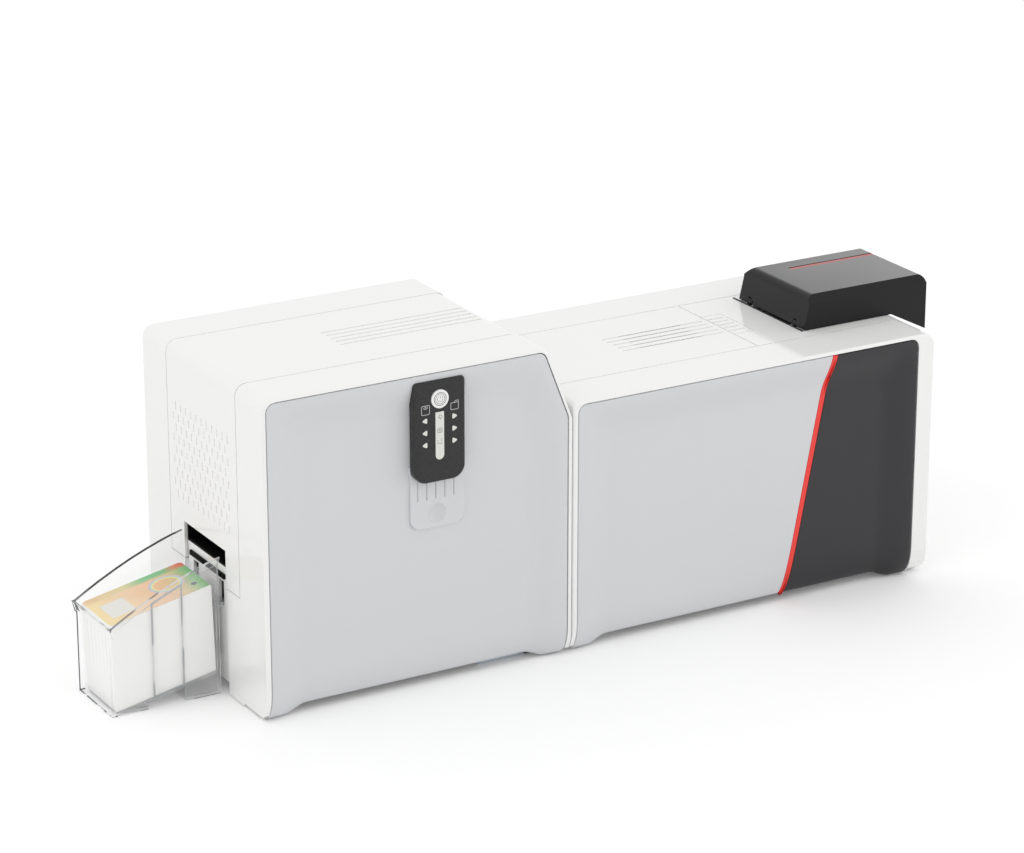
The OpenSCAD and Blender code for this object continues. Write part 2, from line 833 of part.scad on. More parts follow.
module finished_cards() {
    h = (hop_count - 1) * card_t / cos(hop_tilt);
    lean = h * 0.03;
    left = stack_right - tilt_run;
    drop = tilt_run * tan(hop_tilt);
    color("#f2f2ef") {
        slab(-card_w / 2, card_w / 2)
            polygon([[left, stack_z - drop], [stack_right, stack_z],
                [stack_right - lean, stack_z + h - lean * tan(hop_tilt)],
                [left - lean, stack_z - drop + h - lean * tan(hop_tilt)]]);
        translate([left - lean, 0, stack_z - drop + h - lean * tan(hop_tilt)])
            rotate([0, -hop_tilt, 0])
                card_blank();
    }
}

// ---- Rollers and spools ----

pulley_y = 57;
pulley_w = 5.5;

// A shaft with a rubber sleeve and collars, and on driven rollers a flanged pulley
module roller(p, d, driven, reach) {
    bar_y(p, d, -29, 29);
    bar_y(p, shaft_d, -frame_y - frame_t - 1, driven ? reach : frame_y + frame_t + 1);
    both_sides()
        bar_y(p, shaft_d + 3, frame_y - 2.5, frame_y - 0.5);
    if (driven) {
        bar_y(p, pulley_d, pulley_y, pulley_y + pulley_w);
        bar_y(p, pulley_d + 3, pulley_y, pulley_y + 0.4);
        bar_y(p, pulley_d + 3, pulley_y + pulley_w - 0.4, pulley_y + pulley_w);
    }
}

shaft_reach = pulley_y + pulley_w + 0.6;
motor_y = 64.5;
motor_reach = motor_y + 12;

module fin_roller_in() {
    color("#35363a")
        roller([in_x, low_z], roller_d, true, shaft_reach);
}

module fin_pinch_in() {
    color("#8d9094")
        roller([in_x, pinch_z], roller_d, false, 0);
}

module heat_roller() {
    color("#b3452c")
        difference() {
            roller([heat_x, heat_z], heat_d, false, 0);
            both_sides()
                difference() {
                    bar_y([heat_x, heat_z], heat_d - 8, 25, 29.5);
                    bar_y([heat_x, heat_z], shaft_d + 4, 24, 30);
                }
        }
}

module pressure_roller() {
    color("#35363a")
        roller([heat_x, low_z], roller_d, true, motor_reach);
}

module fin_roller_out() {
    color("#35363a")
        roller([out_x, low_z], roller_d, true, shaft_reach);
}

module fin_pinch_out() {
    color("#8d9094")
        roller([out_x, pinch_z], roller_d, false, 0);
}

// A core between two flanges with the web wound on it
module spool(p, web_r, flange_r) {
    bar_y(p, 2 * web_r, -29, 29);
    bar_y(p, spool_shaft, -frame_y - frame_t - 1, frame_y + frame_t + 1);
    both_sides()
        difference() {
            bar_y(p, 2 * flange_r, 29, 31);
            for (a = [0 : 60 : 300])
                bar_y(p + (flange_r - 4.5) * [cos(a), sin(a)], 4, 28, 32);
        }
    both_sides()
        bar_y(p, spool_shaft + 4, 31, 35);
}

film_supply_r = 19;
film_takeup_r = 13;
ribbon_supply_r = 15.5;
ribbon_takeup_r = 12;
flange = 2.5;

module film_supply() {
    color("#e7e4da")
        spool(film_supply_p, film_supply_r, film_supply_r + flange);
}

module film_takeup() {
    color("#d8d5cc")
        spool(film_takeup_p, film_takeup_r, film_takeup_r + flange + 4);
}

module ribbon_supply() {
    color("#c83f57")
        spool(ribbon_supply_p, ribbon_supply_r, ribbon_supply_r + flange);
}

module ribbon_takeup() {
    color("#2f3136")
        spool(ribbon_takeup_p, ribbon_takeup_r, ribbon_takeup_r + flange + 3);
}

// A thin web through points in X and Z
module web(path, t, half_w) {
    slab(-half_w, half_w)
        for (k = [0 : len(path) - 2])
            let (a = path[k], b = path[k + 1], n = left_of(unit(b - a)) * t / 2,
                e = unit(b - a) * t / 2)
                polygon([a + n - e, a - n - e, b - n + e, b + n + e]);
}

// Points of a web that wraps a guide bar, from its side s down to its underside
function wrap(p, s) = [for (a = [0, 30, 60])
    p + (guide_d / 2 + 0.4) * [s * cos(a), -sin(a)]];
function flip(l) = [for (k = [len(l) - 1 : -1 : 0]) l[k]];

// A web's path from a spool, round two guide bars and flat over a roller, to a spool
function web_path(from, r0, g0, x, z, half, g1, to, r1) =
    let (a = wrap(g0, 1), b = wrap(g1, -1))
    concat([touch(a[0], from, r0 + 0.4, 1)], a, [[x + half, z], [x - half, z]], flip(b),
        [touch(b[0], to, r1 + 0.4, -1)]);

module laminate_film() {
    color("#cfd8d4")
        web(web_path(film_supply_p, film_supply_r, fin_guides[0], heat_x,
            card_z + card_t / 2, 7, fin_guides[1], film_takeup_p, film_takeup_r), 0.2, 28);
}

module ribbon_film() {
    color("#7a2a86")
        web(web_path(ribbon_supply_p, ribbon_supply_r, prn_guides[1], platen_x,
            nip_z + 0.35, 4, prn_guides[0], ribbon_takeup_p, ribbon_takeup_r), 0.2, 28);
}

// ---- Printer ----

module prn_base() {
    color("#3a3b3d") {
        base_pan(prn_x0, prn_x1);
        difference() {
            box(half_seam + 0.2, half_seam + wall, -strip_y, strip_y, foot_h,
                prn_hinge[1] - 12);
            box(0, half_seam + wall + 1, -path_window, path_window, card_z - 7, card_z + 8);
        }
        for (x = board_x, y = [-1, 1])
            translate([x, y * (board_y - 4), base_top])
                cylinder(h = board_z - base_top, d = 6, $fn = 24);
    }
}

module prn_front_shell() {
    color("#f4f4f3")
        side_shell(prn_corners, prn_door_corners);
}

port_x0 = 70;
port_x1 = 150;
port_z0 = 26;
port_z1 = 52;

module prn_rear_shell() {
    color("#f4f4f3")
        mirror([0, 1, 0])
            side_shell(prn_corners, prn_door_corners);
}

// The front door is in three pieces, parted by lines that lean 11 degrees
accent_top = 241.5;
accent_lean = 0.198;
function accent_x(z) = accent_top - (prn_h - rim_top - z) * accent_lean;

module door_part(x0, x1, x2, x3) {
    intersection() {
        door(prn_door_corners);
        slab(-half_d - 1, 0)
            polygon([[x0, -1], [x1, -1], [x3, prn_h], [x2, prn_h]]);
    }
}

module prn_front_door() {
    color("#cfd0d3")
        door_part(0, accent_x(-1), 0, accent_x(prn_h));
}

module accent_strip() {
    color("#e8372f")
        door_part(accent_x(-1), accent_x(-1) + accent_w, accent_x(prn_h),
            accent_x(prn_h) + accent_w);
}

module dark_panel() {
    color("#343436")
        door_part(accent_x(-1) + accent_w, prn_w, accent_x(prn_h) + accent_w, prn_w);
}

module prn_rear_door() {
    color("#cfd0d3")
        mirror([0, 1, 0])
            difference() {
                door(prn_door_corners);
                box(port_x0 - fit, port_x1 + fit, -half_d - 1, 0, port_z0 - fit,
                    port_z1 + fit);
            }
}

// Top cover, hinged at its left end beside the finishing unit
module prn_skirt() {
    slab(-strip_y, -strip_y + wall)
        difference() {
            union() {
                translate([prn_hinge[0], prn_h - wall - skirt])
                    square([cover_l - wall - prn_hinge[0], skirt]);
                translate(prn_hinge)
                    circle(r = hinge_r - wall, $fn = 48);
            }
            translate(prn_hinge)
                circle(d = hinge_pin + 2 * run, $fn = 48);
        }
}

module prn_top_cover() {
    color("#f4f4f3")
        difference() {
            union() {
                slab(-strip_y, strip_y)
                    difference() {
                        union() {
                            translate([prn_hinge[0], prn_h - hinge_r])
                                square([cover_l - prn_hinge[0], hinge_r]);
                            translate(prn_hinge)
                                circle(r = hinge_r, $fn = 64);
                        }
                        translate([prn_hinge[0], prn_h - hinge_r - 1])
                            square([cover_l - wall - prn_hinge[0], hinge_r + 1 - wall]);
                        translate(prn_hinge)
                            circle(r = hinge_r - wall, $fn = 64);
                        translate([prn_hinge[0] - hinge_r, prn_hinge[1] - hinge_r - 1])
                            square([2 * hinge_r, hinge_r + 1]);
                    }
                both_sides()
                    prn_skirt();
            }
            for (y = vent_y) {
                box(98.5, cover_l - 4, y - vent_w / 2, y + vent_w / 2, prn_h - 1, prn_h + 1);
                box(114.7, 174, y - vent_w / 2, y + vent_w / 2, prn_h - wall - 1, prn_h + 1);
            }
        }
}

// Fixed bridge: the top strip under the feeder, bent down over the right end
bridge_x = cover_l + seam;
latch_x = bridge_x + 18.5;
latch_y = 24.8;
tray_t = 1.8;
tray_x0 = hood_left - 0.4;
tray_x1 = tray_x0 + card_l + 1;
tray_y = card_w / 2 + 0.5;
barrel_y = tray_y + 1;
lug_y = barrel_y + 2.5;
lug_w = 4;
lug_r = 2.7;
peg_w = 3;
hood_pin = 2.5;
barrel_r = 2.7;
hood_hinge = [hood_left + barrel_r, prn_h + barrel_r + 0.1];

module prn_bridge() {
    color("#f4f4f3") {
        difference() {
            slab(-strip_y, strip_y)
                polygon(concat([[bridge_x, prn_h - wall], [prn_w - edge_r, prn_h - wall]],
                    [for (a = [75 : -15 : 0]) [prn_w - edge_r + (edge_r - wall) * cos(a),
                        prn_h - edge_r + (edge_r - wall) * sin(a)]],
                    [[prn_w - wall, foot_h], [prn_w, foot_h]],
                    [for (a = [0 : 15 : 90]) [prn_w - edge_r + edge_r * cos(a),
                        prn_h - edge_r + edge_r * sin(a)]], [[bridge_x, prn_h]]));
            box(bridge_x - 1, latch_x + 0.5, -latch_y - 0.5, latch_y + 0.5,
                prn_h - wall - 1, prn_h + 1);
            box(tray_x0, tray_x1, -tray_y, tray_y, prn_h - edge_r, prn_h + 1);
            both_sides()
                box(hood_hinge[0] - peg_w / 2 - fit / 2, hood_hinge[0] + peg_w / 2 + fit / 2,
                    lug_y + 0.5 - fit / 2, lug_y + lug_w - 0.5 + fit / 2, prn_h - wall - 1,
                    prn_h + 1);
        }
        collar = prn_h - edge_r;
        difference() {
            box(tray_x0 - tray_t, tray_x1 + tray_t, -tray_y - tray_t, tray_y + tray_t,
                collar, prn_h - wall + 0.1);
            box(tray_x0, tray_x1, -tray_y, tray_y, collar - 1, prn_h);
        }
    }
}

// Two hinge lugs for the hood, each with a peg through the bridge
module hood_brackets() {
    color("#1b1b1d")
        both_sides() {
            slab(lug_y, lug_y + lug_w)
                difference() {
                    union() {
                        translate(hood_hinge)
                            circle(r = lug_r, $fn = 48);
                        translate([hood_hinge[0] - lug_r, prn_h])
                            square([2 * lug_r, hood_hinge[1] - prn_h]);
                    }
                    translate(hood_hinge)
                        circle(d = hood_pin, $fn = 48);
                }
            box(hood_hinge[0] - peg_w / 2, hood_hinge[0] + peg_w / 2, lug_y + 0.5,
                lug_y + lug_w - 0.5, prn_h - wall - 1, prn_h + 0.1);
        }
}

module cover_latch() {
    color("#f4f4f3")
        difference() {
            union() {
                box(bridge_x, latch_x, -latch_y, latch_y, prn_h - wall, prn_h);
                box(bridge_x, latch_x, -latch_y, latch_y - 1.6, prn_h - wall - 4,
                    prn_h - wall);
            }
            box(bridge_x + 1.6, latch_x - 1.6, 1.6 - latch_y, latch_y - 3.2,
                prn_h - wall - 5, prn_h - wall);
            for (y = vent_y)
                box(bridge_x - 1, latch_x - 3, y - vent_w / 2, y + vent_w / 2, prn_h - 1,
                    prn_h + 1);
        }
}

module prn_frame_front() {
    color("#a9adb0") {
        prn_plate();
        for (p = prn_guides)
            bar_y(p, guide_d, -frame_y, frame_y);
    }
}

module prn_frame_rear() {
    color("#a9adb0")
        mirror([0, 1, 0])
            prn_plate();
}

// Thermal printhead on its carrier, which hangs from the cover
module printhead() {
    head_z = nip_z + 0.65;
    x = platen_x;
    color("#55585c")
        difference() {
            union() {
                box(x - 13, x + 9, -32, 32, prn_h - wall - 8, prn_h - wall);
                both_sides()
                    box(x - 11, x + 7, 28, 32, head_z + 3, prn_h - wall - 8);
                box(x - 9, x + 7, -28, 28, head_z + 3, head_z + 22);
                box(x - 2.5, x + 2.5, -28, 28, head_z, head_z + 3);
            }
            for (k = [-6 : 6])
                box(x - 10, x - 3, k * 4 - 1.2, k * 4 + 1.2, head_z + 8, head_z + 23);
        }
}

module platen_roller() {
    color("#35363a")
        roller([platen_x, low_z], roller_d, true, motor_reach);
}

module feed_roller() {
    color("#35363a")
        roller([feed_x, low_z], roller_d, true, shaft_reach);
}

module clean_roller() {
    color("#3f6fb0")
        roller([clean_x, clean_z], clean_d, false, 0);
}

module transport_roller_a() {
    color("#35363a")
        roller([clean_x, low_z], roller_d, true, shaft_reach);
}

module transport_roller_b() {
    color("#35363a")
        roller([exit_x, low_z], roller_d, true, shaft_reach);
}

module transport_pinch() {
    color("#8d9094")
        roller([exit_x, pinch_z], roller_d, false, 0);
}

// ---- Feeder ----

tray_floor = card_z + 0.5;
tray_top = prn_h - edge_r;

module feeder_tray() {
    color("#202124")
        difference() {
            box(tray_x0 - tray_t, tray_x1 + tray_t, -tray_y - tray_t, tray_y + tray_t,
                tray_floor - 2, tray_top);
            box(tray_x0, tray_x1, -tray_y, tray_y, tray_floor, tray_top + 1);
            box(feed_x - roller_d / 2 - 2, feed_x + roller_d / 2 + 2, -31, 31,
                tray_floor - 3, tray_floor + 1);
            box(tray_x0 - tray_t - 1, tray_x0 + 1, -tray_y, tray_y, tray_floor - 3,
                tray_floor + 2 * card_t);
        }
    color("#202124")
        both_sides()
            box(tray_x0 + 30, tray_x0 + 60, tray_y + tray_t, frame_y, tray_top - 30,
                tray_top - 26);
}

module blank_cards() {
    color("#f7f7f5")
        translate([tray_x0 + 0.5, 0, tray_floor])
            scale([1, 1, feed_count])
                card_blank();
}

stack_top = tray_floor + feed_count * card_t;

module card_weight() {
    color("#2a2b2e")
        difference() {
            box(tray_x0 + 3, tray_x1 - 3, 1 - tray_y, tray_y - 1, stack_top, stack_top + 11);
            box(tray_x0 + 30, tray_x1 - 30, 8 - tray_y, tray_y - 8, stack_top + 3,
                stack_top + 12);
        }
}

// The hood: drafted at the left, overhanging at the right, bevelled along front and rear
module hood_side(d) {
    overhang = prn_w - 4.3;
    polygon(concat([[hood_left + d, prn_h + 0.4], [hood_left + 4.6 + d, prn_h + 19.6]],
        [for (a = [165 : -15 : 90]) [hood_left + 12.7 + (8 - d) * cos(a) * 1.02,
            prn_h + hood_h - 8 + (8 - d) * sin(a)]],
        [for (a = [90 : -15 : 0]) [hood_right - 5 + (5 - d) * cos(a),
            prn_h + hood_h - 5 + (5 - d) * sin(a)]],
        [[hood_right - d, prn_h - 17.5], [overhang + d, prn_h + 0.4]]));
}

module hood_cross(d) {
    h = hood_w / 2 - d;
    top = prn_h + hood_h - d;
    bevel = 6.2 - d * 0.4;
    polygon([[-h, prn_h - 30], [-h, top - bevel], [bevel - h, top], [h - bevel, top],
        [h, top - bevel], [h, prn_h - 30]]);
}

module hood_solid(d) {
    intersection() {
        slab(-hood_w / 2, hood_w / 2)
            hood_side(d);
        run_x(hood_left, hood_right)
            hood_cross(d);
    }
}

groove_y = 24;
groove_w = 5.6;
groove_d = 1.1;

// The part of the hood's side outline that the coloured groove follows
module groove_shape(d0, d1) {
    intersection() {
        difference() {
            hood_side(d0);
            hood_side(d1);
        }
        translate([hood_left + 34.2, prn_h + hood_h - 14])
            square([hood_l, 20]);
    }
}

// Part of the hood's outline that keeps its left end clear of the deck as it turns
module hood_sweep() {
    difference() {
        translate([hood_hinge[0] - 10, hood_hinge[1] - 10])
            square([10, 10]);
        translate(hood_hinge)
            circle(r = barrel_r, $fn = 48);
    }
}

module feeder_hood() {
    inner_y = hood_w / 2 - hood_t;
    color("#1b1b1d")
        difference() {
            union() {
                difference() {
                    hood_solid(0);
                    hood_solid(hood_t);
                    slab(-inner_y, inner_y)
                        polygon([[prn_w - 5, prn_h + 1], [hood_right - hood_t, prn_h - 20],
                            [hood_right - hood_t, prn_h + 4], [prn_w - 5, prn_h + 4]]);
                    slab(-hood_w, hood_w)
                        hood_sweep();
                }
                both_sides()
                    slab(barrel_y, inner_y + 1)
                        translate(hood_hinge)
                            circle(r = barrel_r, $fn = 48);
            }
            both_sides()
                box(hood_left - 1, hood_left + 2 * barrel_r + 1, lug_y - fit,
                    lug_y + lug_w + fit, prn_h - 1, prn_h + 2 * barrel_r + 1);
            both_sides()
                bar_y(hood_hinge, hood_pin + 2 * run, barrel_y - 1, hood_w / 2 - 1);
            slab(groove_y - groove_w / 2, groove_y + groove_w / 2)
                groove_shape(-0.5, groove_d);
        }
}

// Coloured inlay in the hood's groove, bent down over its right end
module hood_strip() {
    color("#e8372f")
        slab(groove_y - groove_w / 2, groove_y + groove_w / 2 - 0.8)
            groove_shape(0.3, groove_d);
}

// ---- Pins, motors, belts, board and ports ----

module hinge_pins() {
    color("#c9ccce") {
        bar_y(fin_hinge, hinge_pin, -strip_y + 0.3, strip_y - 0.3);
        bar_y(prn_hinge, hinge_pin, -strip_y + 0.3, strip_y - 0.3);
        both_sides()
            bar_y(hood_hinge, hood_pin, barrel_y + 0.5, hood_w / 2 - 1.5);
    }
}

motor_w = 42;
motor_gap = 5.6;
motor_l = half_d - pocket - motor_gap - motor_y;
motor_pitch = 31;

module motor_at(x) {
    slab(motor_y, motor_y + motor_l)
        difference() {
            translate([x - motor_w / 2, low_z - motor_w / 2])
                square(motor_w);
            for (a = [45 : 90 : 315])
                translate([x + motor_w * 0.74 * cos(a), low_z + motor_w * 0.74 * sin(a)])
                    rotate(a)
                        square([8, 20], center = true);
        }
}

module drive_motors() {
    color("#5b5e62")
        for (x = [heat_x, platen_x]) {
            difference() {
                motor_at(x);
                bar_y([x, low_z], bore_d, motor_y - 1, motor_reach + 1);
            }
            for (sx = [-1, 1], sz = [-1, 1])
                bar_y([x + sx * motor_pitch / 2, low_z + sz * motor_pitch / 2], 5,
                    frame_y + frame_t, motor_y);
        }
}

// One toothed belt in each unit, round the pulleys of its driven rollers
module belt_loop(x0, x1, r) {
    for (x = [x0, x1])
        translate([x, low_z])
            circle(r = r, $fn = 48);
    translate([x0, low_z - r])
        square([x1 - x0, 2 * r]);
}

module drive_belts() {
    color("#1f2022")
        for (ends = [[out_x, in_x], [exit_x, feed_x]])
            slab(pulley_y + 0.6, pulley_y + pulley_w - 0.6)
                difference() {
                    belt_loop(ends[0], ends[1], pulley_d / 2 + 0.15 + belt_t);
                    belt_loop(ends[0], ends[1], pulley_d / 2 + 0.15);
                }
}

board_x = [150, 226];
board_y = 42;
board_z = base_top + 5;

module main_board() {
    t = 1.6;
    color("#2c6b43") {
        box(board_x[0] - 5, board_x[1] + 5, -board_y, board_y, board_z, board_z + t);
        for (x = [160, 176])
            translate([x, -28, board_z + t])
                cylinder(h = 14, d = 10, $fn = 32);
        box(188, 206, -12, 6, board_z + t, board_z + t + 2.4);
        for (y = [16, 28])
            box(152, 178, y, y + 6, board_z + t, board_z + t + 8);
    }
}

// Sockets for power, a computer and a network on a plate behind the rear door
module rear_ports() {
    y0 = half_d - pocket;
    z = (port_z0 + port_z1) / 2;
    color("#26272a")
        difference() {
            union() {
                box(port_x0, port_x1, y0, y0 + 2, port_z0, port_z1);
                box(port_x0 + 10, port_x0 + 22, y0 + 2, y0 + 6, z - 5.5, z + 5.5);
                box(port_x0 + 32, port_x0 + 48, y0 + 2, y0 + 6, z - 7, z + 7);
                bar_y([port_x0 + 66, z], 12, y0 + 2, y0 + 6);
            }
            box(port_x0 + 12, port_x0 + 20, y0 + 1, y0 + 7, z - 3.8, z + 3.8);
            box(port_x0 + 34, port_x0 + 46, y0 + 1, y0 + 7, z - 4.5, z + 4.5);
            difference() {
                bar_y([port_x0 + 66, z], 8, y0 + 1, y0 + 7);
                bar_y([port_x0 + 66, z], 2.4, y0, y0 + 5.5);
            }
        }
}

translate([-middle_x, 0, 0]) {
    fin_base();
    fin_front_shell();
    fin_rear_shell();
    fin_front_door();
    fin_rear_door();
    fin_top_cover();
    fin_face();
    fin_slope_cap();
    fin_frame_front();
    fin_frame_rear();
    panel_dock();
    control_panel();
    power_button();
    light_guides();
    output_chute();
    output_hopper();
    finished_cards();
    fin_roller_in();
    fin_pinch_in();
    heat_roller();
    pressure_roller();
    fin_roller_out();
    fin_pinch_out();
    film_supply();
    film_takeup();
    laminate_film();
    prn_base();
    prn_front_shell();
    prn_rear_shell();
    prn_front_door();
    accent_strip();
    dark_panel();
    prn_rear_door();
    prn_top_cover();
    prn_bridge();
    hood_brackets();
    cover_latch();
    prn_frame_front();
    prn_frame_rear();
    printhead();
    platen_roller();
    feed_roller();
    clean_roller();
    transport_roller_a();
    transport_roller_b();
    transport_pinch();
    ribbon_supply();
    ribbon_takeup();
    ribbon_film();
    feeder_tray();
    feeder_hood();
    hood_strip();
    card_weight();
    blank_cards();
    hinge_pins();
    drive_motors();
    drive_belts();
    main_board();
    rear_ports();
    rubber_feet();
}
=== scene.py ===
"""Looks of a card printer with an inline finishing unit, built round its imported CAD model."""

import math

import bmesh
import bpy
import numpy as np
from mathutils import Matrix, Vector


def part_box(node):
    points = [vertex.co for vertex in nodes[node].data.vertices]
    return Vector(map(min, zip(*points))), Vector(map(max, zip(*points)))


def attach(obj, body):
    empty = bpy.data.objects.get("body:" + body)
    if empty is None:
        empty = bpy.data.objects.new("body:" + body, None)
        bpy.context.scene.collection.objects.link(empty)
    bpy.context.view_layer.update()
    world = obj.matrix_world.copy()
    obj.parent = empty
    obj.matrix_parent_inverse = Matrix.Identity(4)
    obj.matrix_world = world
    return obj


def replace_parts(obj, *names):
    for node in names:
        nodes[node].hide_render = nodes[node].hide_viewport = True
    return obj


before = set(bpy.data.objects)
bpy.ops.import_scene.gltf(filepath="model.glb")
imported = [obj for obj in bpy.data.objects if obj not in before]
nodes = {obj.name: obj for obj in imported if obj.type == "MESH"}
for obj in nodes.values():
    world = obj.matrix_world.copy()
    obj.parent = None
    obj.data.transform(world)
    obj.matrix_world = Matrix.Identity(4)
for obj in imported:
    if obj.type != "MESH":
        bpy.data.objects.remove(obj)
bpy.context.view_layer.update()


# ---- Camera ----
# The photograph's viewpoint, solved from the straight edges of both units: 30 degrees round
# to the left, 20 degrees down, with a long lens.

camera = bpy.data.objects.new("camera", bpy.data.cameras.new("camera"))
bpy.context.scene.collection.objects.link(camera)
camera.data.lens = 131.3
camera.data.sensor_width = 36
camera.data.clip_end = 50
camera.location = (-1.4004, -2.4125, 1.1671)
camera.rotation_euler = (math.radians(70.12), 0, math.radians(-30.15))
bpy.context.scene.camera = camera


# ---- Side mouldings and covers ----
# Injection moulded ABS in a polished tool: white, and glossy enough to mirror the feeder.
# The mouldings are screwed to the base pans, and the covers snap on their hinge pins.

def tint(code):
    """Linear colour of an sRGB hex value: the piecewise sRGB curve, one channel at a time."""
    c = np.array([int(code[k:k + 2], 16) for k in (1, 3, 5)]) / 255
    c = np.where(c <= 0.04045, c / 12.92, ((c + 0.055) / 1.055) ** 2.4)
    return (*map(float, c), 1.0)


def add(owner, kind, settings=None, **links):
    """Adds one shader node, sets its sockets or properties, and links inputs to outputs. An
    input is named, or numbered as in0, in1 where the names are all alike."""
    node = owner.node_tree.nodes.new(kind)
    place = {f"in{k}": k for k in range(len(node.inputs))}
    for key, value in (settings or {}).items():
        key = place.get(key, key)
        if isinstance(key, int) or key in node.inputs:
            node.inputs[key].default_value = value
        else:
            setattr(node, key, value)
    for key, source in links.items():
        owner.node_tree.links.new(source, node.inputs[place.get(key, key.replace("_", " "))])
    return node


def start_material(name, **sockets):
    """A new material with a Principled shader on its output, and that shader's sockets set."""
    material = bpy.data.materials.new(name)
    material.use_nodes = True
    shader = material.node_tree.nodes["Principled BSDF"]
    for key, value in sockets.items():
        shader.inputs[key.replace("_", " ")].default_value = value
    return material, shader


def grain(material, shader, size_mm, depth_mm, spread=0.0, base=0.0):
    """Moulded grain: noise of a real size on Object coordinates drives bump and roughness."""
    place = add(material, "ShaderNodeTexCoord").outputs["Object"]
    noise = add(material, "ShaderNodeTexNoise",
                {"Scale": 1000 / size_mm, "Detail": 3.0, "Roughness": 0.55}, Vector=place)
    bump = add(material, "ShaderNodeBump", {"Strength": 1.0, "Distance": depth_mm / 1000},
               Height=noise.outputs["Fac"])
    material.node_tree.links.new(bump.outputs["Normal"], shader.inputs["Normal"])
    if spread:
        wide = add(material, "ShaderNodeTexNoise", {"Scale": 9.0, "Detail": 4.0}, Vector=place)
        rough = add(material, "ShaderNodeMapRange",
                    {"From Min": 0.3, "From Max": 0.7, "To Min": base - spread,
                     "To Max": base + spread}, Value=wide.outputs["Fac"])
        material.node_tree.links.new(rough.outputs["Result"], shader.inputs["Roughness"])


def finish(material, *names):
    """Gives CAD nodes this material in all their slots."""
    for name in names:
        for place in nodes[name].material_slots:
            place.material = material


# Polished ABS: clean white under a crisp, slightly wavy mirror of the hood and the sky.
white_abs, shader = start_material("polished_white_abs", Base_Color=tint("#f2f2f1"),
                                   Roughness=0.1, IOR=1.53)
grain(white_abs, shader, 14, 0.004, 0.03, 0.09)
finish(white_abs, "fin_front_shell", "fin_rear_shell", "fin_top_cover", "fin_face",
       "fin_slope_cap", "prn_front_shell", "prn_rear_shell", "prn_top_cover", "prn_bridge",
       "cover_latch")


# ---- Doors ----
# Dished ABS panels with a fine spark-eroded texture, which snap into the side mouldings. Their
# lower edge curls back under the unit and rises between the two feet.

def mesh_piece(name, points, faces, material, bends=40.0, body="housing", closed=False):
    """A piece from points in millimetres and faces, smooth up to an angle. The faces of a
    closed one are turned outwards."""
    mesh = bpy.data.meshes.new(name)
    mesh.from_pydata((np.asarray(points) / 1000).tolist(), [], np.asarray(faces).tolist()
                     if isinstance(faces, np.ndarray) else faces)
    if closed:
        shell = bmesh.new()
        shell.from_mesh(mesh)
        bmesh.ops.recalc_face_normals(shell, faces=shell.faces)
        shell.to_mesh(mesh)
        shell.free()
    mesh.polygons.foreach_set("use_smooth", np.ones(len(mesh.polygons), dtype=bool))
    mesh.set_sharp_from_angle(angle=math.radians(bends))
    mesh.materials.append(material)
    piece = bpy.data.objects.new(name, mesh)
    bpy.context.scene.collection.objects.link(piece)
    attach(piece, body)
    return piece


def grid_faces(rows, columns):
    """Quads of a grid whose points run along its columns first."""
    k = np.arange(rows * columns).reshape(rows, columns)
    return np.stack([k[:-1, :-1], k[:-1, 1:], k[1:, 1:], k[1:, :-1]], axis=-1).reshape(-1, 4)


def soft(t):
    """Smooth step: three t squared less two t cubed, held between 0 and 1."""
    t = np.clip(t, 0, 1)
    return t * t * (3 - 2 * t)


def rounded_chain(corners, radius, steps=12):
    """Points along straight runs whose inner corners are replaced by tangent arcs."""
    corners = np.asarray(corners, dtype=float)
    chain = [corners[:1]]
    for a, p, b in zip(corners[:-2], corners[1:-1], corners[2:]):
        u, w = (a - p) / np.linalg.norm(a - p), (b - p) / np.linalg.norm(b - p)
        half = math.acos(float(u @ w)) / 2
        middle = p + (u + w) / np.linalg.norm(u + w) * radius / math.sin(half)
        t = np.linspace(0, 1, steps)[:, None]
        arc = (p + u * radius / math.tan(half) - middle) * (1 - t)
        arc = arc + (p + w * radius / math.tan(half) - middle) * t
        chain.append(middle + arc / np.linalg.norm(arc, axis=1)[:, None] * radius)
    chain.append(corners[-1:])
    return np.concatenate(chain)


front_y = -103.5
dish = 7.0
curl = 13.0
curl_h = 26.0
door_back = front_y + 14.1
door_t = 2.4
corner_r = 7.0
foot_flat, foot_run, foot_rise = 14.0, 20.0, 5.8
edge_steps = np.array([0, 0, 0.08, 0.25, 0.5, 0.9, 1.5, 2.5, 4, 6, 8.5, 12])


def box_mm(node):
    """Lowest and highest corner of a node in millimetres."""
    return (np.array(v) * 1000 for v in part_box(node))


def door_corners(x0, x1, z0, z1, shoulder=None):
    """Corners of a door, from the bottom left round to the top left. The shoulder is how far
    its upper right corner is cut back, along and down."""
    upper = [(x1 - shoulder[0], z1), (x1, z1 - shoulder[1])] if shoulder else [(x1, z1)]
    return [(x0, z0), (x1, z0)] + upper[::-1] + [(x0, z1)]


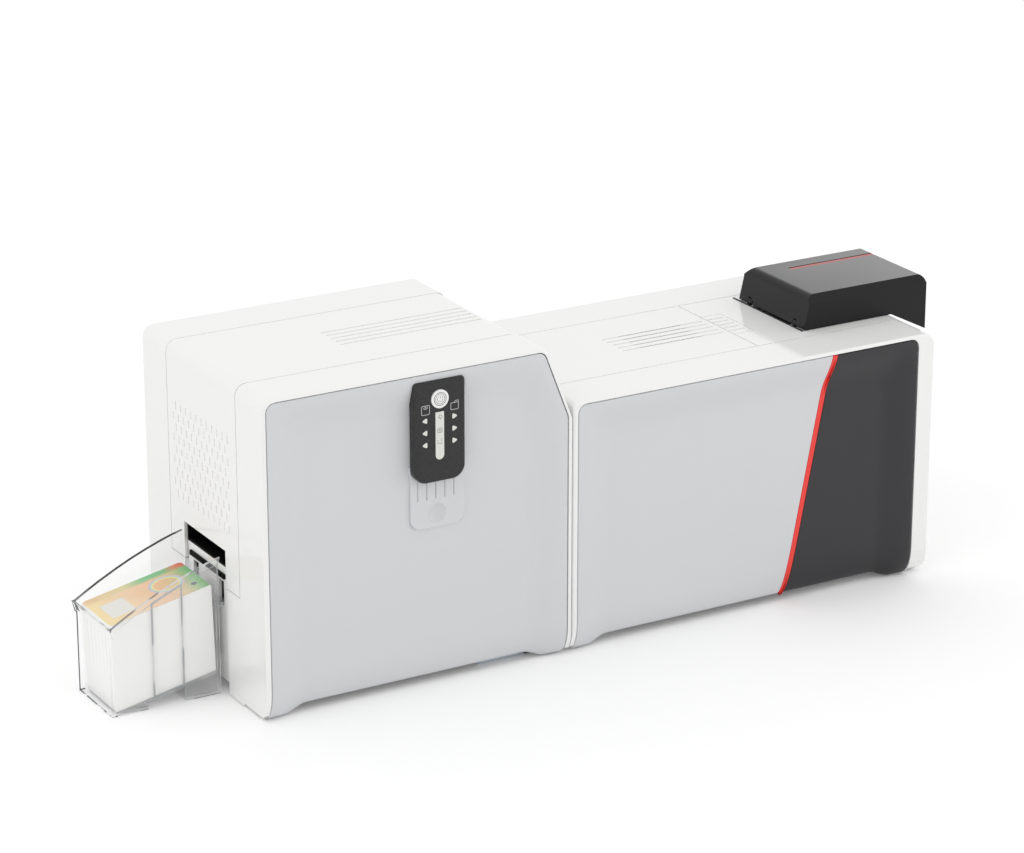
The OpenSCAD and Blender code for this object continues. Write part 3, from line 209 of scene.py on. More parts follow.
def door_surface(name, corners, material, mirrored=False, left=None, right=None,
                 pocket=None):
    """A door as a grid between its two side curves. Its depth is a smooth step of the distance
    from the outline, which gives the dish, plus a quarter circle near the bottom for the curl.
    A cut at the left or right is a straight line given by its x at the bottom and the top.
    Grid lines are moved to the sides of a rectangular pocket, whose faces are left out."""
    low, top = corners[0][1], corners[-1][1]
    x_mid = (corners[0][0] + corners[-2][0]) / 2
    chain_l = rounded_chain([corners[0], corners[-1], (x_mid, top)], corner_r)[:-1]
    chain_r = rounded_chain(corners[1:-1] + [(x_mid, top)], corner_r)[:-1]
    rise = np.concatenate([np.linspace(0, 4, 9), np.linspace(5, curl_h, 22)])
    body = np.linspace(curl_h, top - low - edge_steps[-1], 62)[1:]
    z = low + np.concatenate([rise, body, top - low - edge_steps[-2::-1]])
    if pocket:
        lifted = z + foot_rise * soft(1 - (z - low) / 50)
        for limit in (pocket[0][1], pocket[1][1]):
            z[np.argmin(np.abs(lifted - limit))] = np.interp(limit, lifted, z)
    x_left = np.interp(z, chain_l[:, 1], chain_l[:, 0])
    x_right = np.interp(z, chain_r[:, 1], chain_r[:, 0])
    lean = (z - low) / (top - low)
    if left:
        x_left = left[0] + (left[1] - left[0]) * lean
    if right:
        x_right = right[0] + (right[1] - right[0]) * lean
    room = x_right - x_left
    steps = np.minimum(edge_steps, room.min() / 2.5)
    inner = np.linspace(0, 1, 74 if room.min() > 20 else 6)[1:-1]
    room = (room - 2 * steps[-1])[:, None]
    x = np.concatenate([x_left[:, None] + steps, x_left[:, None] + steps[-1] + room * inner,
                        x_right[:, None] - steps[::-1]], axis=1)
    if pocket:
        ends = len(edge_steps) - 1, x.shape[1] - len(edge_steps)
        marks = [np.argmin(np.abs(x[40] - corner[0])) for corner in pocket]
        for corner, mark, spread in zip(pocket, marks, np.eye(2)):
            share = np.interp(np.arange(x.shape[1]), [ends[0], *marks, ends[1]], [0, *spread, 0])
            x = x + (corner[0] - x[:, mark, None]) * share
    z = np.repeat(z[:, None], x.shape[1], axis=1)

    spots = np.array(corners)
    gaps = []
    for p, q in zip(spots[1:], np.roll(spots, -1, axis=0)[1:]):
        run = (q - p) / np.linalg.norm(q - p)
        gaps.append((x - p[0]) * -run[1] + (z - p[1]) * run[0])
    gap = -6 * np.log(sum(np.exp(-g / 6) for g in gaps))
    depth = dish * soft((gap - 1) / 31)
    bend = np.clip(1 - (z - low) / curl_h, 0, 1)
    bend = 1 - np.sqrt(1 - bend ** 2)
    y = front_y + depth + (curl - depth) * bend

    side_l, side_r = x - x_left[:, None], x_right[:, None] - x
    edge = np.minimum(top - z, np.minimum(side_l * (3 if left else 1),
                                          side_r * (3 if right else 1)))
    y = y + 0.9 - 0.9 * np.sqrt(1 - np.clip(1 - edge / 0.9, 0, 1) ** 2)
    ends = np.minimum(x - spots[0, 0], spots[1, 0] - x)
    z = z + foot_rise * soft((ends - foot_flat) / foot_run) * soft(1 - (z - low) / 50)
    y[:, 0] = y[:, -1] = y[-1] = door_back
    faces = grid_faces(*x.shape)
    if pocket:
        middle = np.stack([x, z], axis=-1).reshape(-1, 2)[faces].mean(axis=1)
        hole = ((middle > pocket[0]) & (middle < pocket[1])).all(axis=1)
        faces = faces[~hole]
    if mirrored:
        y, faces = -y, faces[:, ::-1]
    piece = mesh_piece(name, np.stack([x, y, z], axis=-1).reshape(-1, 3), faces, material)
    wall = piece.modifiers.new("wall", "SOLIDIFY")
    wall.thickness = door_t / 1000
    wall.offset = -1
    return piece


# Spark-eroded ABS: an even satin grey, whose light spreads softly into the dish.
grey_abs, shader = start_material("satin_grey_abs", Base_Color=tint("#d3d4d6"),
                                  Roughness=0.38, IOR=1.53)
grain(grey_abs, shader, 0.9, 0.01, 0.03, 0.38)
finish(grey_abs, "panel_dock")
# The same texture moulded in charcoal: nearly black, with a faint soft sheen.
charcoal_abs, shader = start_material("satin_charcoal_abs", Base_Color=tint("#1f1d21"),
                                      Roughness=0.4, IOR=1.53)
grain(charcoal_abs, shader, 0.9, 0.01, 0.03, 0.4)
# Acrylic trim: a bright, glassy red line.
red_pmma, shader = start_material("red_acrylic_trim", Base_Color=tint("#ee3932"),
                                  Roughness=0.15, IOR=1.49)
grain(red_pmma, shader, 6, 0.002)

fin_low, fin_high = box_mm("fin_front_door")
fin_outline = door_corners(fin_low[0], fin_high[0], fin_low[2], fin_high[2], (21.6, 55.4))
prn_low, prn_high = box_mm("prn_rear_door")
prn_outline = door_corners(prn_low[0], prn_high[0], prn_low[2], prn_high[2])
red_low, red_high = box_mm("accent_strip")
accent_w, accent_gap = 4.8, 0.12
accent_foot, accent_head = red_low[0], red_high[0] - accent_w

dock_low, dock_high = box_mm("panel_dock")
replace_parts(door_surface("finishing_front_door", fin_outline, grey_abs,
                         pocket=(dock_low[[0, 2]] + 2.6, dock_high[[0, 2]] - 2.6)),
            "fin_front_door")
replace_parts(door_surface("finishing_rear_door", fin_outline, grey_abs, True),
            "fin_rear_door")
port_low, port_high = box_mm("rear_ports")
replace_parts(door_surface("printer_rear_door", prn_outline, grey_abs, True,
                         pocket=(port_low[[0, 2]] - 1, port_high[[0, 2]] + 1)), "prn_rear_door")
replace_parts(door_surface("printer_front_door", prn_outline, grey_abs,
                         right=(accent_foot - accent_gap, accent_head - accent_gap)),
            "prn_front_door")
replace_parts(door_surface("printer_accent", prn_outline, red_pmma,
                         left=(accent_foot, accent_head),
                         right=(accent_foot + accent_w, accent_head + accent_w)),
            "accent_strip")
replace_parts(door_surface("printer_dark_door", prn_outline, charcoal_abs,
                         left=(accent_foot + accent_w + accent_gap,
                               accent_head + accent_w + accent_gap)), "dark_panel")


# ---- Control panel ----
# A glossy black polycarbonate cover on a snap-on housing, with a lit button and light bar. Its
# corners are rounded, wider at the bottom, and its front edge is rolled.

def rounded_outline(corners, radii, steps=14):
    """Closed outline through the corners, each replaced by a tangent arc of its own radius."""
    corners = np.asarray(corners, dtype=float)
    loops = []
    for a, p, b, r in zip(np.roll(corners, 1, 0), corners, np.roll(corners, -1, 0), radii):
        loops.append(rounded_chain([a, p, b], r, steps)[1:-1])
    return np.concatenate(loops)


def rolled_slab(name, outline, rings, material, bends=40.0, body="housing", hole=None):
    """A slab facing front: the outline moved inward along its normals by each ring's first
    value, at the depth of its second, and closed by flat faces at the first and last ring. A
    round hole, given by its middle and radius, takes the faces from the last to the first
    ring: each point of the outline is joined to the hole's point in the same direction."""
    outline = np.asarray(outline)
    run = np.roll(outline, -1, 0) - np.roll(outline, 1, 0)
    run /= np.linalg.norm(run, axis=1)[:, None]
    inward = np.stack([-run[:, 1], run[:, 0]], axis=1)
    rings = np.asarray(rings, dtype=float)
    flat = outline[None] + inward[None] * rings[:, 0, None, None]
    depth = rings[:, 1]
    if hole:
        spoke = outline - hole[:2]
        circle = hole[:2] + hole[2] * spoke / np.linalg.norm(spoke, axis=1)[:, None]
        flat = np.concatenate([flat, circle[None], circle[None]])
        depth = np.concatenate([depth, depth[[-1, 0]]])
    n, m = len(outline), len(depth)
    depth = np.repeat(depth[:, None], n, axis=1)
    points = np.stack([flat[..., 0], depth, flat[..., 1]], axis=-1).reshape(-1, 3)
    j, k = np.meshgrid(np.arange(m if hole else m - 1), np.arange(n), indexing="ij")
    after, across = (j + 1) % m, (k + 1) % n
    faces = np.stack([j * n + k, j * n + across, after * n + across, after * n + k], axis=-1)
    faces = faces.reshape(-1, 4).tolist()
    if not hole:
        faces += [np.arange(n)[::-1].tolist(), ((m - 1) * n + np.arange(n)).tolist()]
    return mesh_piece(name, points, faces, material, bends, body, True)


def filled(outline, step):
    """A closed outline whose long straight runs are cut into pieces of about one step."""
    ends = np.roll(outline, -1, 0)
    count = np.ceil(np.linalg.norm(ends - outline, axis=1) / step).astype(int).clip(1)
    start = np.repeat(np.arange(len(outline)), count)
    share = (np.arange(count.sum()) - np.repeat(np.cumsum(count) - count, count)) / count[start]
    return outline[start] + (ends - outline)[start] * share[:, None]


# Textured polycarbonate: black with a fine grey speckle. Its real grain of 0.2 mm is drawn
# 0.9 mm wide, so that it shows.
black_pc, shader = start_material("textured_black_polycarbonate", Roughness=0.3, IOR=1.5)
grain(black_pc, shader, 0.7, 0.012, 0.03, 0.3)
place = add(black_pc, "ShaderNodeTexCoord").outputs["Object"]
speck = add(black_pc, "ShaderNodeTexNoise", {"Scale": 1000 / 0.9, "Detail": 2.0}, Vector=place)
ramp_fac = add(black_pc, "ShaderNodeMapRange", {"From Min": 0.4, "From Max": 0.65},
               Value=speck.outputs["Fac"])
specks = add(black_pc, "ShaderNodeMixRGB", {"Color1": tint("#070708"),
                                            "Color2": tint("#232324")},
             Fac=ramp_fac.outputs["Result"])
black_pc.node_tree.links.new(specks.outputs["Color"], shader.inputs["Base Color"])
panel_low, panel_high = box_mm("control_panel")
face_y = panel_low[1]
panel_outline = rounded_outline([(panel_low[0], panel_low[2]), (panel_high[0], panel_low[2]),
                                 (panel_high[0], panel_high[2]), (panel_low[0], panel_high[2])],
                                (11, 11, 3, 3))
button_low, button_high = box_mm("power_button")
button_x, button_z = (button_low[[0, 2]] + button_high[[0, 2]]) / 2
button_hole = (button_x, button_z, (button_high[0] - button_low[0]) / 2 + 0.3)
roll = np.linspace(0, math.pi / 2, 7)
rings = [(0, panel_high[1])] + [(1.8 * (1 - math.cos(a)), face_y + 1.8 * (1 - math.sin(a)))
                                for a in roll]
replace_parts(rolled_slab("panel_cover", filled(panel_outline, 1.2), rings, black_pc,
                        hole=button_hole), "control_panel")

# Translucent white polycarbonate: a soft, milky button.
lit_pc, shader = start_material("translucent_white_polycarbonate", Base_Color=tint("#f0f0ee"),
                                Roughness=0.3, IOR=1.58)
grain(lit_pc, shader, 1.2, 0.004)
finish(lit_pc, "power_button")
# Diffusing polycarbonate: greyer and duller, because its lamps are off.
guide_pc, shader = start_material("diffusing_grey_polycarbonate", Base_Color=tint("#dedfd8"),
                                  Roughness=0.3, IOR=1.58)
grain(guide_pc, shader, 1.2, 0.004)
finish(guide_pc, "light_guides")


# ---- Printed symbols ----
# Screen printed ink on the panel and on the bar: plain outlines of a card, a folder, a drop, a
# lens and a tray, and the usual power symbol on the button.

def arc(x, z, radius, start, stop, steps=20):
    """Points on a circle round x and z, from a start to a stop angle in degrees."""
    t = np.radians(np.linspace(start, stop, steps))
    return np.stack([x + radius * np.cos(t), z + radius * np.sin(t)], axis=1)


def frame_line(x, z, wide, tall, radius, steps=5):
    """Closed rounded rectangle round a middle point."""
    return rounded_outline([(x - wide / 2, z - tall / 2), (x + wide / 2, z - tall / 2),
                            (x + wide / 2, z + tall / 2), (x - wide / 2, z + tall / 2)],
                           [radius] * 4, steps)


def ink(name, open_lines, closed_lines, width, y, material, body="housing"):
    """Lines of ink on a face that looks to the front: each path is moved half the width to
    both sides along its normals, and given a thickness of 0.04 mm."""
    points, faces, start = [], [], 0
    for line, ring in [(a, False) for a in open_lines] + [(a, True) for a in closed_lines]:
        line = np.asarray(line, dtype=float)
        n = len(line)
        before = np.roll(line, 1, 0) if ring else np.concatenate([line[:1], line[:-1]])
        after = np.roll(line, -1, 0) if ring else np.concatenate([line[1:], line[-1:]])
        run = after - before
        run /= np.linalg.norm(run, axis=1)[:, None]
        side = np.stack([-run[:, 1], run[:, 0]], axis=1) * width / 2
        rails = np.stack([line + side, line - side, line - side, line + side], axis=1)
        depth = np.broadcast_to([y, y, y + 0.06, y + 0.06], (n, 4))
        points.append(np.stack([rails[..., 0], depth, rails[..., 1]], axis=-1).reshape(-1, 3))
        k = np.arange(n if ring else n - 1)[:, None]
        j = np.arange(4)[None]
        k, j = np.broadcast_arrays(k, j)
        quads = np.stack([k * 4 + j, k * 4 + (j + 1) % 4, (k + 1) % n * 4 + (j + 1) % 4,
                          (k + 1) % n * 4 + j], axis=-1).reshape(-1, 4) + start
        faces += quads.tolist()
        if not ring:
            faces += [[start + m for m in range(4)],
                      [start + 4 * n - 1 - m for m in range(4)]]
        start += 4 * n
    return mesh_piece(name, np.concatenate(points), faces, material, 40.0, body, True)


# Screen ink in three tones: flat matt lines that catch no highlight.
white_ink, shader = start_material("white_screen_ink", Base_Color=tint("#c9c9c6"), Roughness=0.5)
grain(white_ink, shader, 0.5, 0.004)
dark_ink, shader = start_material("grey_screen_ink", Base_Color=tint("#4d4e4c"), Roughness=0.5)
grain(dark_ink, shader, 0.5, 0.004)
pale_ink, shader = start_material("pale_screen_ink", Base_Color=tint("#7f8082"), Roughness=0.5)
grain(pale_ink, shader, 0.5, 0.004)

left_x, right_x, bar_x, icon_z = -135.2, -110.2, -123.1, 228.6
ink("card_and_folder_symbols",
    [arc(left_x, icon_z + 2.9, 1.9, 200, 340),
     [(right_x - 0.6, icon_z + 2.2), (right_x + 1.0, icon_z + 3.6), (right_x + 3.2, icon_z + 3.6),
      (right_x + 3.2, icon_z + 2.2)]],
    [frame_line(left_x, icon_z, 6.8, 7.2, 1.0), frame_line(right_x, icon_z - 0.6, 6.6, 5.4, 0.8),
     arc(left_x, icon_z + 2.4, 0.5, 0, 330, 12)], 0.42, face_y - 0.03, white_ink)
ink("bar_symbols",
    [[(bar_x - 1.6, 221.8), (bar_x + 1.2, 219.4)],
     [(bar_x + 1.2, 202.2), (bar_x + 1.2, 204.4)],
     [(bar_x - 1.9, 203.0), (bar_x - 1.9, 200.2), (bar_x + 1.9, 200.2), (bar_x + 1.9, 201.4)]],
    [arc(bar_x + 0.6, 221.6, 1.3, 0, 350, 16), frame_line(bar_x, 210.8, 3.8, 3.4, 0.8),
     arc(bar_x, 210.8, 0.8, 0, 340, 12)], 0.3, -105.68, dark_ink)
ink("power_symbol", [arc(bar_x, 236.0, 2.3, 125, 415, 28),
                     [(bar_x, 236.4), (bar_x, 239.0)]],
    [arc(bar_x, 236.0, 5.2, 0, 354, 60), arc(bar_x, 236.0, 3.9, 0, 354, 60)],
    0.42, -106.51, pale_ink, "button")


# ---- Feeder hood ----
# Black ABS with a moulded satin grain; the hood turns on two pins at its left end, and a red
# acrylic inlay is pressed into its groove. A black strip along its left edge is painted shade.

# Fine-grained ABS: black to the front, and a bright grey sheen where it is seen at a low
# angle, from a coat that grows with the facing.
hood_abs, shader = start_material("grained_black_abs", Base_Color=tint("#1b1b1d"),
                                  Roughness=0.3, IOR=1.3, Coat_Roughness=0.25, Coat_IOR=1.5)
grain(hood_abs, shader, 0.8, 0.005, 0.03, 0.3)
glance = add(hood_abs, "ShaderNodeLayerWeight", {"Blend": 0.5})
gloss = add(hood_abs, "ShaderNodeMapRange", {"From Min": 0.53, "From Max": 0.66,
                                             "To Max": 0.8}, Value=glance.outputs["Facing"])
hood_abs.node_tree.links.new(gloss.outputs["Result"], shader.inputs["Coat Weight"])
finish(hood_abs, "hood_brackets")


def smooth_copy(name, node, width_mm, material, body, bends=30.0):
    """A rounded copy of a CAD node: its loose triangles are merged, flat faces are made whole,
    and every edge sharper than the given angle gets a small radius."""
    shell = bmesh.new()
    shell.from_mesh(nodes[node].data)
    bmesh.ops.remove_doubles(shell, verts=shell.verts, dist=1e-6)
    bmesh.ops.dissolve_limit(shell, angle_limit=math.radians(0.6), verts=shell.verts,
                             edges=shell.edges)
    bmesh.ops.recalc_face_normals(shell, faces=shell.faces)
    mesh = bpy.data.meshes.new(name)
    shell.to_mesh(mesh)
    shell.free()
    mesh.polygons.foreach_set("use_smooth", np.ones(len(mesh.polygons), dtype=bool))
    mesh.set_sharp_from_angle(angle=math.radians(bends))
    mesh.materials.append(material)
    piece = bpy.data.objects.new(name, mesh)
    bpy.context.scene.collection.objects.link(piece)
    bevel = piece.modifiers.new("moulded_edges", "BEVEL")
    bevel.width = width_mm / 1000
    bevel.segments = 3
    bevel.limit_method = "ANGLE"
    bevel.angle_limit = math.radians(bends)
    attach(piece, body)
    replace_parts(piece, node)
    return piece


smooth_copy("rounded_hood", "feeder_hood", 0.9, hood_abs, "hood")
# Acrylic inlay: dark red under a glassy face that turns paler at a low angle.
red_inlay, shader = start_material("red_acrylic_inlay", Base_Color=tint("#a81a18"),
                                   Roughness=0.18, IOR=1.49)
grain(red_inlay, shader, 6, 0.002)
inlay = smooth_copy("tilted_inlay", "hood_strip", 0.12, red_inlay, "hood")
spots = np.empty(len(inlay.data.vertices) * 3)
inlay.data.vertices.foreach_get("co", spots)
spots = spots.reshape(-1, 3)
near = spots[:, 1] < 0.0236
spots[near & (spots[:, 2] > 0.2355), 2] += 0.00028
spots[near, 1] += 0.00005
spots[~near, 1] += 0.0004
inlay.data.vertices.foreach_set("co", spots.ravel())
inlay.data.update()


# ---- Hopper and cards ----
# The hopper is injection moulded clear SAN, 1.6 mm thick; the cards are calendered PVC.

# Clear SAN: walls that hardly show, with a thin sharp gloss.
clear_san, shader = start_material("clear_san", Base_Color=tint("#fcfdfd"), Roughness=0.04,
                                   IOR=1.57, Alpha=0.09)
grain(clear_san, shader, 20, 0.002)
finish(clear_san, "output_hopper")


def painted_edge_bars(name, node, chosen, half, material, body):
    """Thin square bars of painted refraction along the sharp edges of a CAD node, where a clear
    moulding turns dark or bright: each edge, lengthened by the bar's half width, carries a square
    of that size, held inside the node's box and above the table."""
    shell = bmesh.new()
    shell.from_mesh(nodes[node].data)
    bmesh.ops.remove_doubles(shell, verts=shell.verts, dist=1e-6)
    sharp = [[v.co[:] for v in e.verts] for e in shell.edges
             if len(e.link_faces) == 2 and e.calc_face_angle() > 0.6]
    shell.free()
    ends = np.array(sharp) * 1000
    ends = ends[chosen(ends.mean(axis=1))]
    ends[..., 2] = np.maximum(ends[..., 2], half + 0.02)
    run = ends[:, 1] - ends[:, 0]
    run /= np.linalg.norm(run, axis=1)[:, None]
    across = np.cross(run, np.where(np.abs(run[:, 2:]) < 0.8, [[0, 0, 1.0]], [[0, 1.0, 0]]))
    across /= np.linalg.norm(across, axis=1)[:, None]
    up = np.cross(run, across)
    signs = np.array([(1, 1), (1, -1), (-1, -1), (-1, 1)]) * half
    ring = signs[:, 0, None, None] * across + signs[:, 1, None, None] * up
    points = np.concatenate([ends[:, 0] - run * half + ring, ends[:, 1] + run * half + ring])
    points = np.clip(points.transpose(1, 0, 2).reshape(-1, 3), *box_mm(node))
    box = np.array([(0, 1, 2, 3), (7, 6, 5, 4), (0, 4, 5, 1), (1, 5, 6, 2), (2, 6, 7, 3),
                    (3, 7, 4, 0)])
    faces = (np.arange(len(ends))[:, None, None] * 8 + box).reshape(-1, 4)
    return mesh_piece(name, points, faces, material, 30.0, body, True)


def painted_edge_material(name, dark, pale, share, size_mm):
    """Painted refraction for the edge of a clear moulding: a noise along it swaps a painted dark
    line for a painted pale highlight.
    """
    material, shader = start_material(name, Roughness=0.2, IOR=1.57)
    place = add(material, "ShaderNodeTexCoord").outputs["Object"]
    noise = add(material, "ShaderNodeTexNoise", {"Scale": 1000 / size_mm, "Detail": 1.0},
                Vector=place)
    step = add(material, "ShaderNodeMapRange", {"From Min": share - 0.03, "From Max": share + 0.03},
               Value=noise.outputs["Fac"])
    mix = add(material, "ShaderNodeMixRGB", {"Color1": tint(dark), "Color2": tint(pale)},
              Fac=step.outputs["Result"])
    material.node_tree.links.new(mix.outputs["Color"], shader.inputs["Base Color"])
    return material


def rim_height(x):
    """Height of the hopper's rim: a parabola that rises from its front to the unit."""
    t = np.clip((x + 365.7) / 91.0, 0, 1)
    return 73.4 + 40.2 * (1.38 * t - 0.38 * t * t)


def near_rim(spots):
    """Which spots lie on the hopper's upper edge."""
    return (np.abs(spots[:, 2] - rim_height(spots[:, 0])) < 2.5) & (spots[:, 0] < -272)


# Painted light: opaque bars in a dark and a pale colour stand in for the dark refraction and bright
# highlights along the clear hopper's edges.
far_painted_edge = painted_edge_material("dark_painted_refraction_edge", "#2b2c2e", "#77797b", 0.62, 30)
near_painted_edge = painted_edge_material("grey_painted_refraction_edge", "#6f7173", "#d9dadb", 0.47, 22)
soft_painted_edge = painted_edge_material("pale_painted_refraction_edge", "#b3b5b8", "#e4e5e5", 0.5, 40)
dashed_painted_edge = painted_edge_material("dashed_painted_refraction_edge", "#1d1d1e", "#ececec", 0.54, 8)
painted_edge_bars("hopper_far_rim_painted_refraction", "output_hopper",
          lambda p: (near_rim(p) & (p[:, 1] > 0))
          | ((p[:, 0] < -365) & (p[:, 1] > 29.5) & (p[:, 2] > 3)), 0.34,
          far_painted_edge, "hopper")
painted_edge_bars("hopper_near_rim_painted_refraction", "output_hopper", lambda p: near_rim(p) & (p[:, 1] <= 0), 0.24,
          near_painted_edge, "hopper")
painted_edge_bars("hopper_front_foot_painted_refraction", "output_hopper", lambda p: (p[:, 2] < 1.2) & (p[:, 0] < -361),
          0.32, dashed_painted_edge, "hopper")
painted_edge_bars("hopper_side_foot_painted_refraction", "output_hopper",
          lambda p: (p[:, 2] < 2.2) & (p[:, 0] >= -356) & (p[:, 1] < 0), 0.16, near_painted_edge,
          "hopper")
painted_edge_bars("hopper_wall_edges_painted_refraction", "output_hopper",
          lambda p: ~near_rim(p) & (p[:, 2] >= 2.2) & (p[:, 0] > -356) & (p[:, 1] < 0), 0.15,
          soft_painted_edge, "hopper")

# Calendered PVC: bright white with a smooth low gloss.
card_pvc, shader = start_material("white_card_pvc", Base_Color=tint("#fcfcfa"), Roughness=0.25,
                                  IOR=1.54)
grain(card_pvc, shader, 0.76, 0.005)
finish(card_pvc, "finished_cards", "blank_cards")

# The dye print on the top card under its clear laminate: a plain field with a blank photo
# place, a green band, pastel rings and one seal.
card_low, card_high = box_mm("finished_cards")
tilt = math.radians(11.2)
card_l, card_w, card_right = 85.6, 54.0, card_low[0] + 85.6 * math.cos(tilt)
laminate, shader = start_material("laminated_dye_print", Roughness=0.18, IOR=1.54)
grain(laminate, shader, 12, 0.003)
place = add(laminate, "ShaderNodeTexCoord").outputs["Object"]
axes = add(laminate, "ShaderNodeSeparateXYZ", Vector=place)
flat = add(laminate, "ShaderNodeCombineXYZ", X=axes.outputs["X"], Y=axes.outputs["Y"])


def ramp(material, source, low, high, stops):
    """Colours over a coordinate that runs from low to high, in metres."""
    run = add(material, "ShaderNodeMapRange", {"From Min": low, "From Max": high}, Value=source)
    node = add(material, "ShaderNodeValToRGB", Fac=run.outputs["Result"])
    for spot, code in stops[2:]:
        node.color_ramp.elements.new(spot)
    for element, (spot, code) in zip(node.color_ramp.elements, sorted(stops)):
        element.position = spot
        element.color = tint(code)
    return node.outputs["Color"]


def over(material, under, colour, mask):
    """Lays a colour, plain or from a node, over another by a mask."""
    if isinstance(colour, tuple):
        return add(material, "ShaderNodeMixRGB", {"Color2": colour}, Fac=mask,
                   Color1=under).outputs["Color"]
    return add(material, "ShaderNodeMixRGB", Fac=mask, Color1=under,
               Color2=colour).outputs["Color"]


def round_mask(material, along, across, inner, outer):
    """1 inside a radius and 0 outside another, round a point of the card in millimetres."""
    spot = ((card_low[0] + along * math.cos(tilt)) / 1000, across / 1000, 0)
    gap = add(material, "ShaderNodeVectorMath", {"operation": "DISTANCE", "in1": spot},
              in0=flat.outputs["Vector"]).outputs["Value"]
    mask = add(material, "ShaderNodeMapRange", {"From Min": outer / 1000,
                                                "From Max": inner / 1000}, Value=gap)
    return gap, mask.outputs["Result"]


x_low, x_high = card_low[0] / 1000, card_right / 1000
field = ramp(laminate, axes.outputs["X"], x_low, x_high,
             [(0, "#f3dc9e"), (1, "#4bab55"), (0.3, "#f1d2ac"), (0.62, "#f0bf94"),
              (0.8, "#dcc28c"), (0.93, "#7dbd70")])
band = ramp(laminate, axes.outputs["X"], x_low, x_high,
            [(0, "#eec79a"), (1, "#e2452f"), (0.4, "#dfcf98"), (0.58, "#74c487"),
             (0.8, "#5cb873"), (0.9, "#d98046")])
edge = add(laminate, "ShaderNodeMapRange", {"From Min": 0.0165, "From Max": 0.021},
           Value=axes.outputs["Y"])
print_colour = over(laminate, field, band, edge.outputs["Result"])
line_pitch = 1.85
wave = add(laminate, "ShaderNodeTexWave",
           {"Scale": 314 / line_pitch, "Distortion": 9.0, "Detail": 1.0},
           Vector=flat.outputs["Vector"])
weak = add(laminate, "ShaderNodeMath", {"operation": "MULTIPLY", "in1": 0.16},
           in0=wave.outputs["Fac"])
print_colour = over(laminate, print_colour, tint("#f4f0dc"), weak.outputs[0])
gap, inside = round_mask(laminate, 61, 2, 13, 15)
rings = ramp(laminate, gap, 0.008, 0.015,
             [(0, "#efcfa8"), (1, "#b9dcc0"), (0.35, "#f3e394"), (0.6, "#9ed3e0"),
              (0.8, "#f0b6c0")])
print_colour = over(laminate, print_colour, rings, inside)
gap, inside = round_mask(laminate, 61, 2, 8.5, 10.5)
print_colour = over(laminate, print_colour, field, inside)
gap, inside = round_mask(laminate, 77, -14.5, 2.1, 2.5)
print_colour = over(laminate, print_colour, tint("#35386a"), inside)
laminate.node_tree.links.new(print_colour, shader.inputs["Base Color"])


def card_film(name, outline, low_mm, high_mm, material):
    """A film on the top card: an outline of lengths along and across the card, placed on the
    card's tilted upper face between two heights over it."""
    outline = np.asarray(outline)
    n = len(outline)
    heights = np.array([low_mm, high_mm])[:, None]
    along = outline[None, :, 0] * math.cos(tilt) - heights * math.sin(tilt)
    rise = card_high[2] + (outline[None, :, 0] - card_l) * math.sin(tilt)
    points = np.stack([card_low[0] + along, np.broadcast_to(outline[None, :, 1], along.shape),
                       rise + heights * math.cos(tilt)], axis=-1).reshape(-1, 3)
    k = np.arange(n)
    sides = np.stack([k, (k + 1) % n, n + (k + 1) % n, n + k], axis=1).tolist()
    return mesh_piece(name, points, sides + [k[::-1].tolist(), (n + k).tolist()], material,
                      30.0, "hopper", True)


card_film("card_print", frame_line(card_l / 2, 0, card_l - 0.3, card_w - 0.3, 3.1, 8), 0.01,
          0.05, laminate)
# The same laminate over unprinted card: a warm off-white.
photo_blank, shader = start_material("blank_photo_field", Base_Color=tint("#e6e4dd"),
                                     Roughness=0.18, IOR=1.54)
grain(photo_blank, shader, 12, 0.003)
card_film("card_photo_field", frame_line(17, -4, 20, 26, 1.2, 5), 0.04, 0.07, photo_blank)


# ---- Inner parts ----
# Dark ABS chutes and pans, zinc plated sheet steel frames, ground steel rollers, rubber.

# Textured black ABS: dull, so that the covers stand out against it.
dark_abs, shader = start_material("dark_inner_abs", Base_Color=tint("#29292b"), Roughness=0.5,
                                  IOR=1.53)
grain(dark_abs, shader, 1.0, 0.02)
finish(dark_abs, "fin_base", "prn_base", "feeder_tray", "card_weight", "rear_ports")
# Matt ABS painted near black, darker than the other inner ABS: painted shade for the deep slot.
shaded_chute_abs, shader = start_material("chute_abs_painted_shade", Base_Color=tint("#070707"),
                                   Roughness=0.6, IOR=1.53, Specular_IOR_Level=0.15)
grain(shaded_chute_abs, shader, 1.0, 0.02)
finish(shaded_chute_abs, "output_chute")

# Zinc plate: grey metal with a cloudy, uneven shine.
zinc_steel, shader = start_material("zinc_plated_steel", Base_Color=tint("#b9bcbf"),
                                    Roughness=0.35, Metallic=1.0)
grain(zinc_steel, shader, 4, 0.006, 0.06, 0.35)
finish(zinc_steel, "fin_frame_front", "fin_frame_rear", "prn_frame_front", "prn_frame_rear")

# Ground steel: a bright, finely streaked shine along each shaft.
ground_steel, shader = start_material("ground_steel", Base_Color=tint("#a9abae"),
                                      Roughness=0.25, Metallic=1.0)
grain(ground_steel, shader, 0.5, 0.003)
finish(ground_steel, "fin_pinch_in", "fin_pinch_out", "transport_pinch", "hinge_pins")

# Nitrile rubber: matt, almost black.
black_rubber, shader = start_material("black_nitrile_rubber", Base_Color=tint("#242527"),
                                      Roughness=0.75)
grain(black_rubber, shader, 0.6, 0.03)
finish(black_rubber, "platen_roller", "feed_roller", "transport_roller_a",
       "transport_roller_b", "fin_roller_in", "fin_roller_out", "pressure_roller",
       "rubber_feet", "drive_belts")

# Silicone rubber: brick red with a dry sheen.
red_silicone, shader = start_material("red_silicone_rubber", Base_Color=tint("#a8402c"),
                                      Roughness=0.55)
grain(red_silicone, shader, 0.6, 0.02)
finish(red_silicone, "heat_roller")

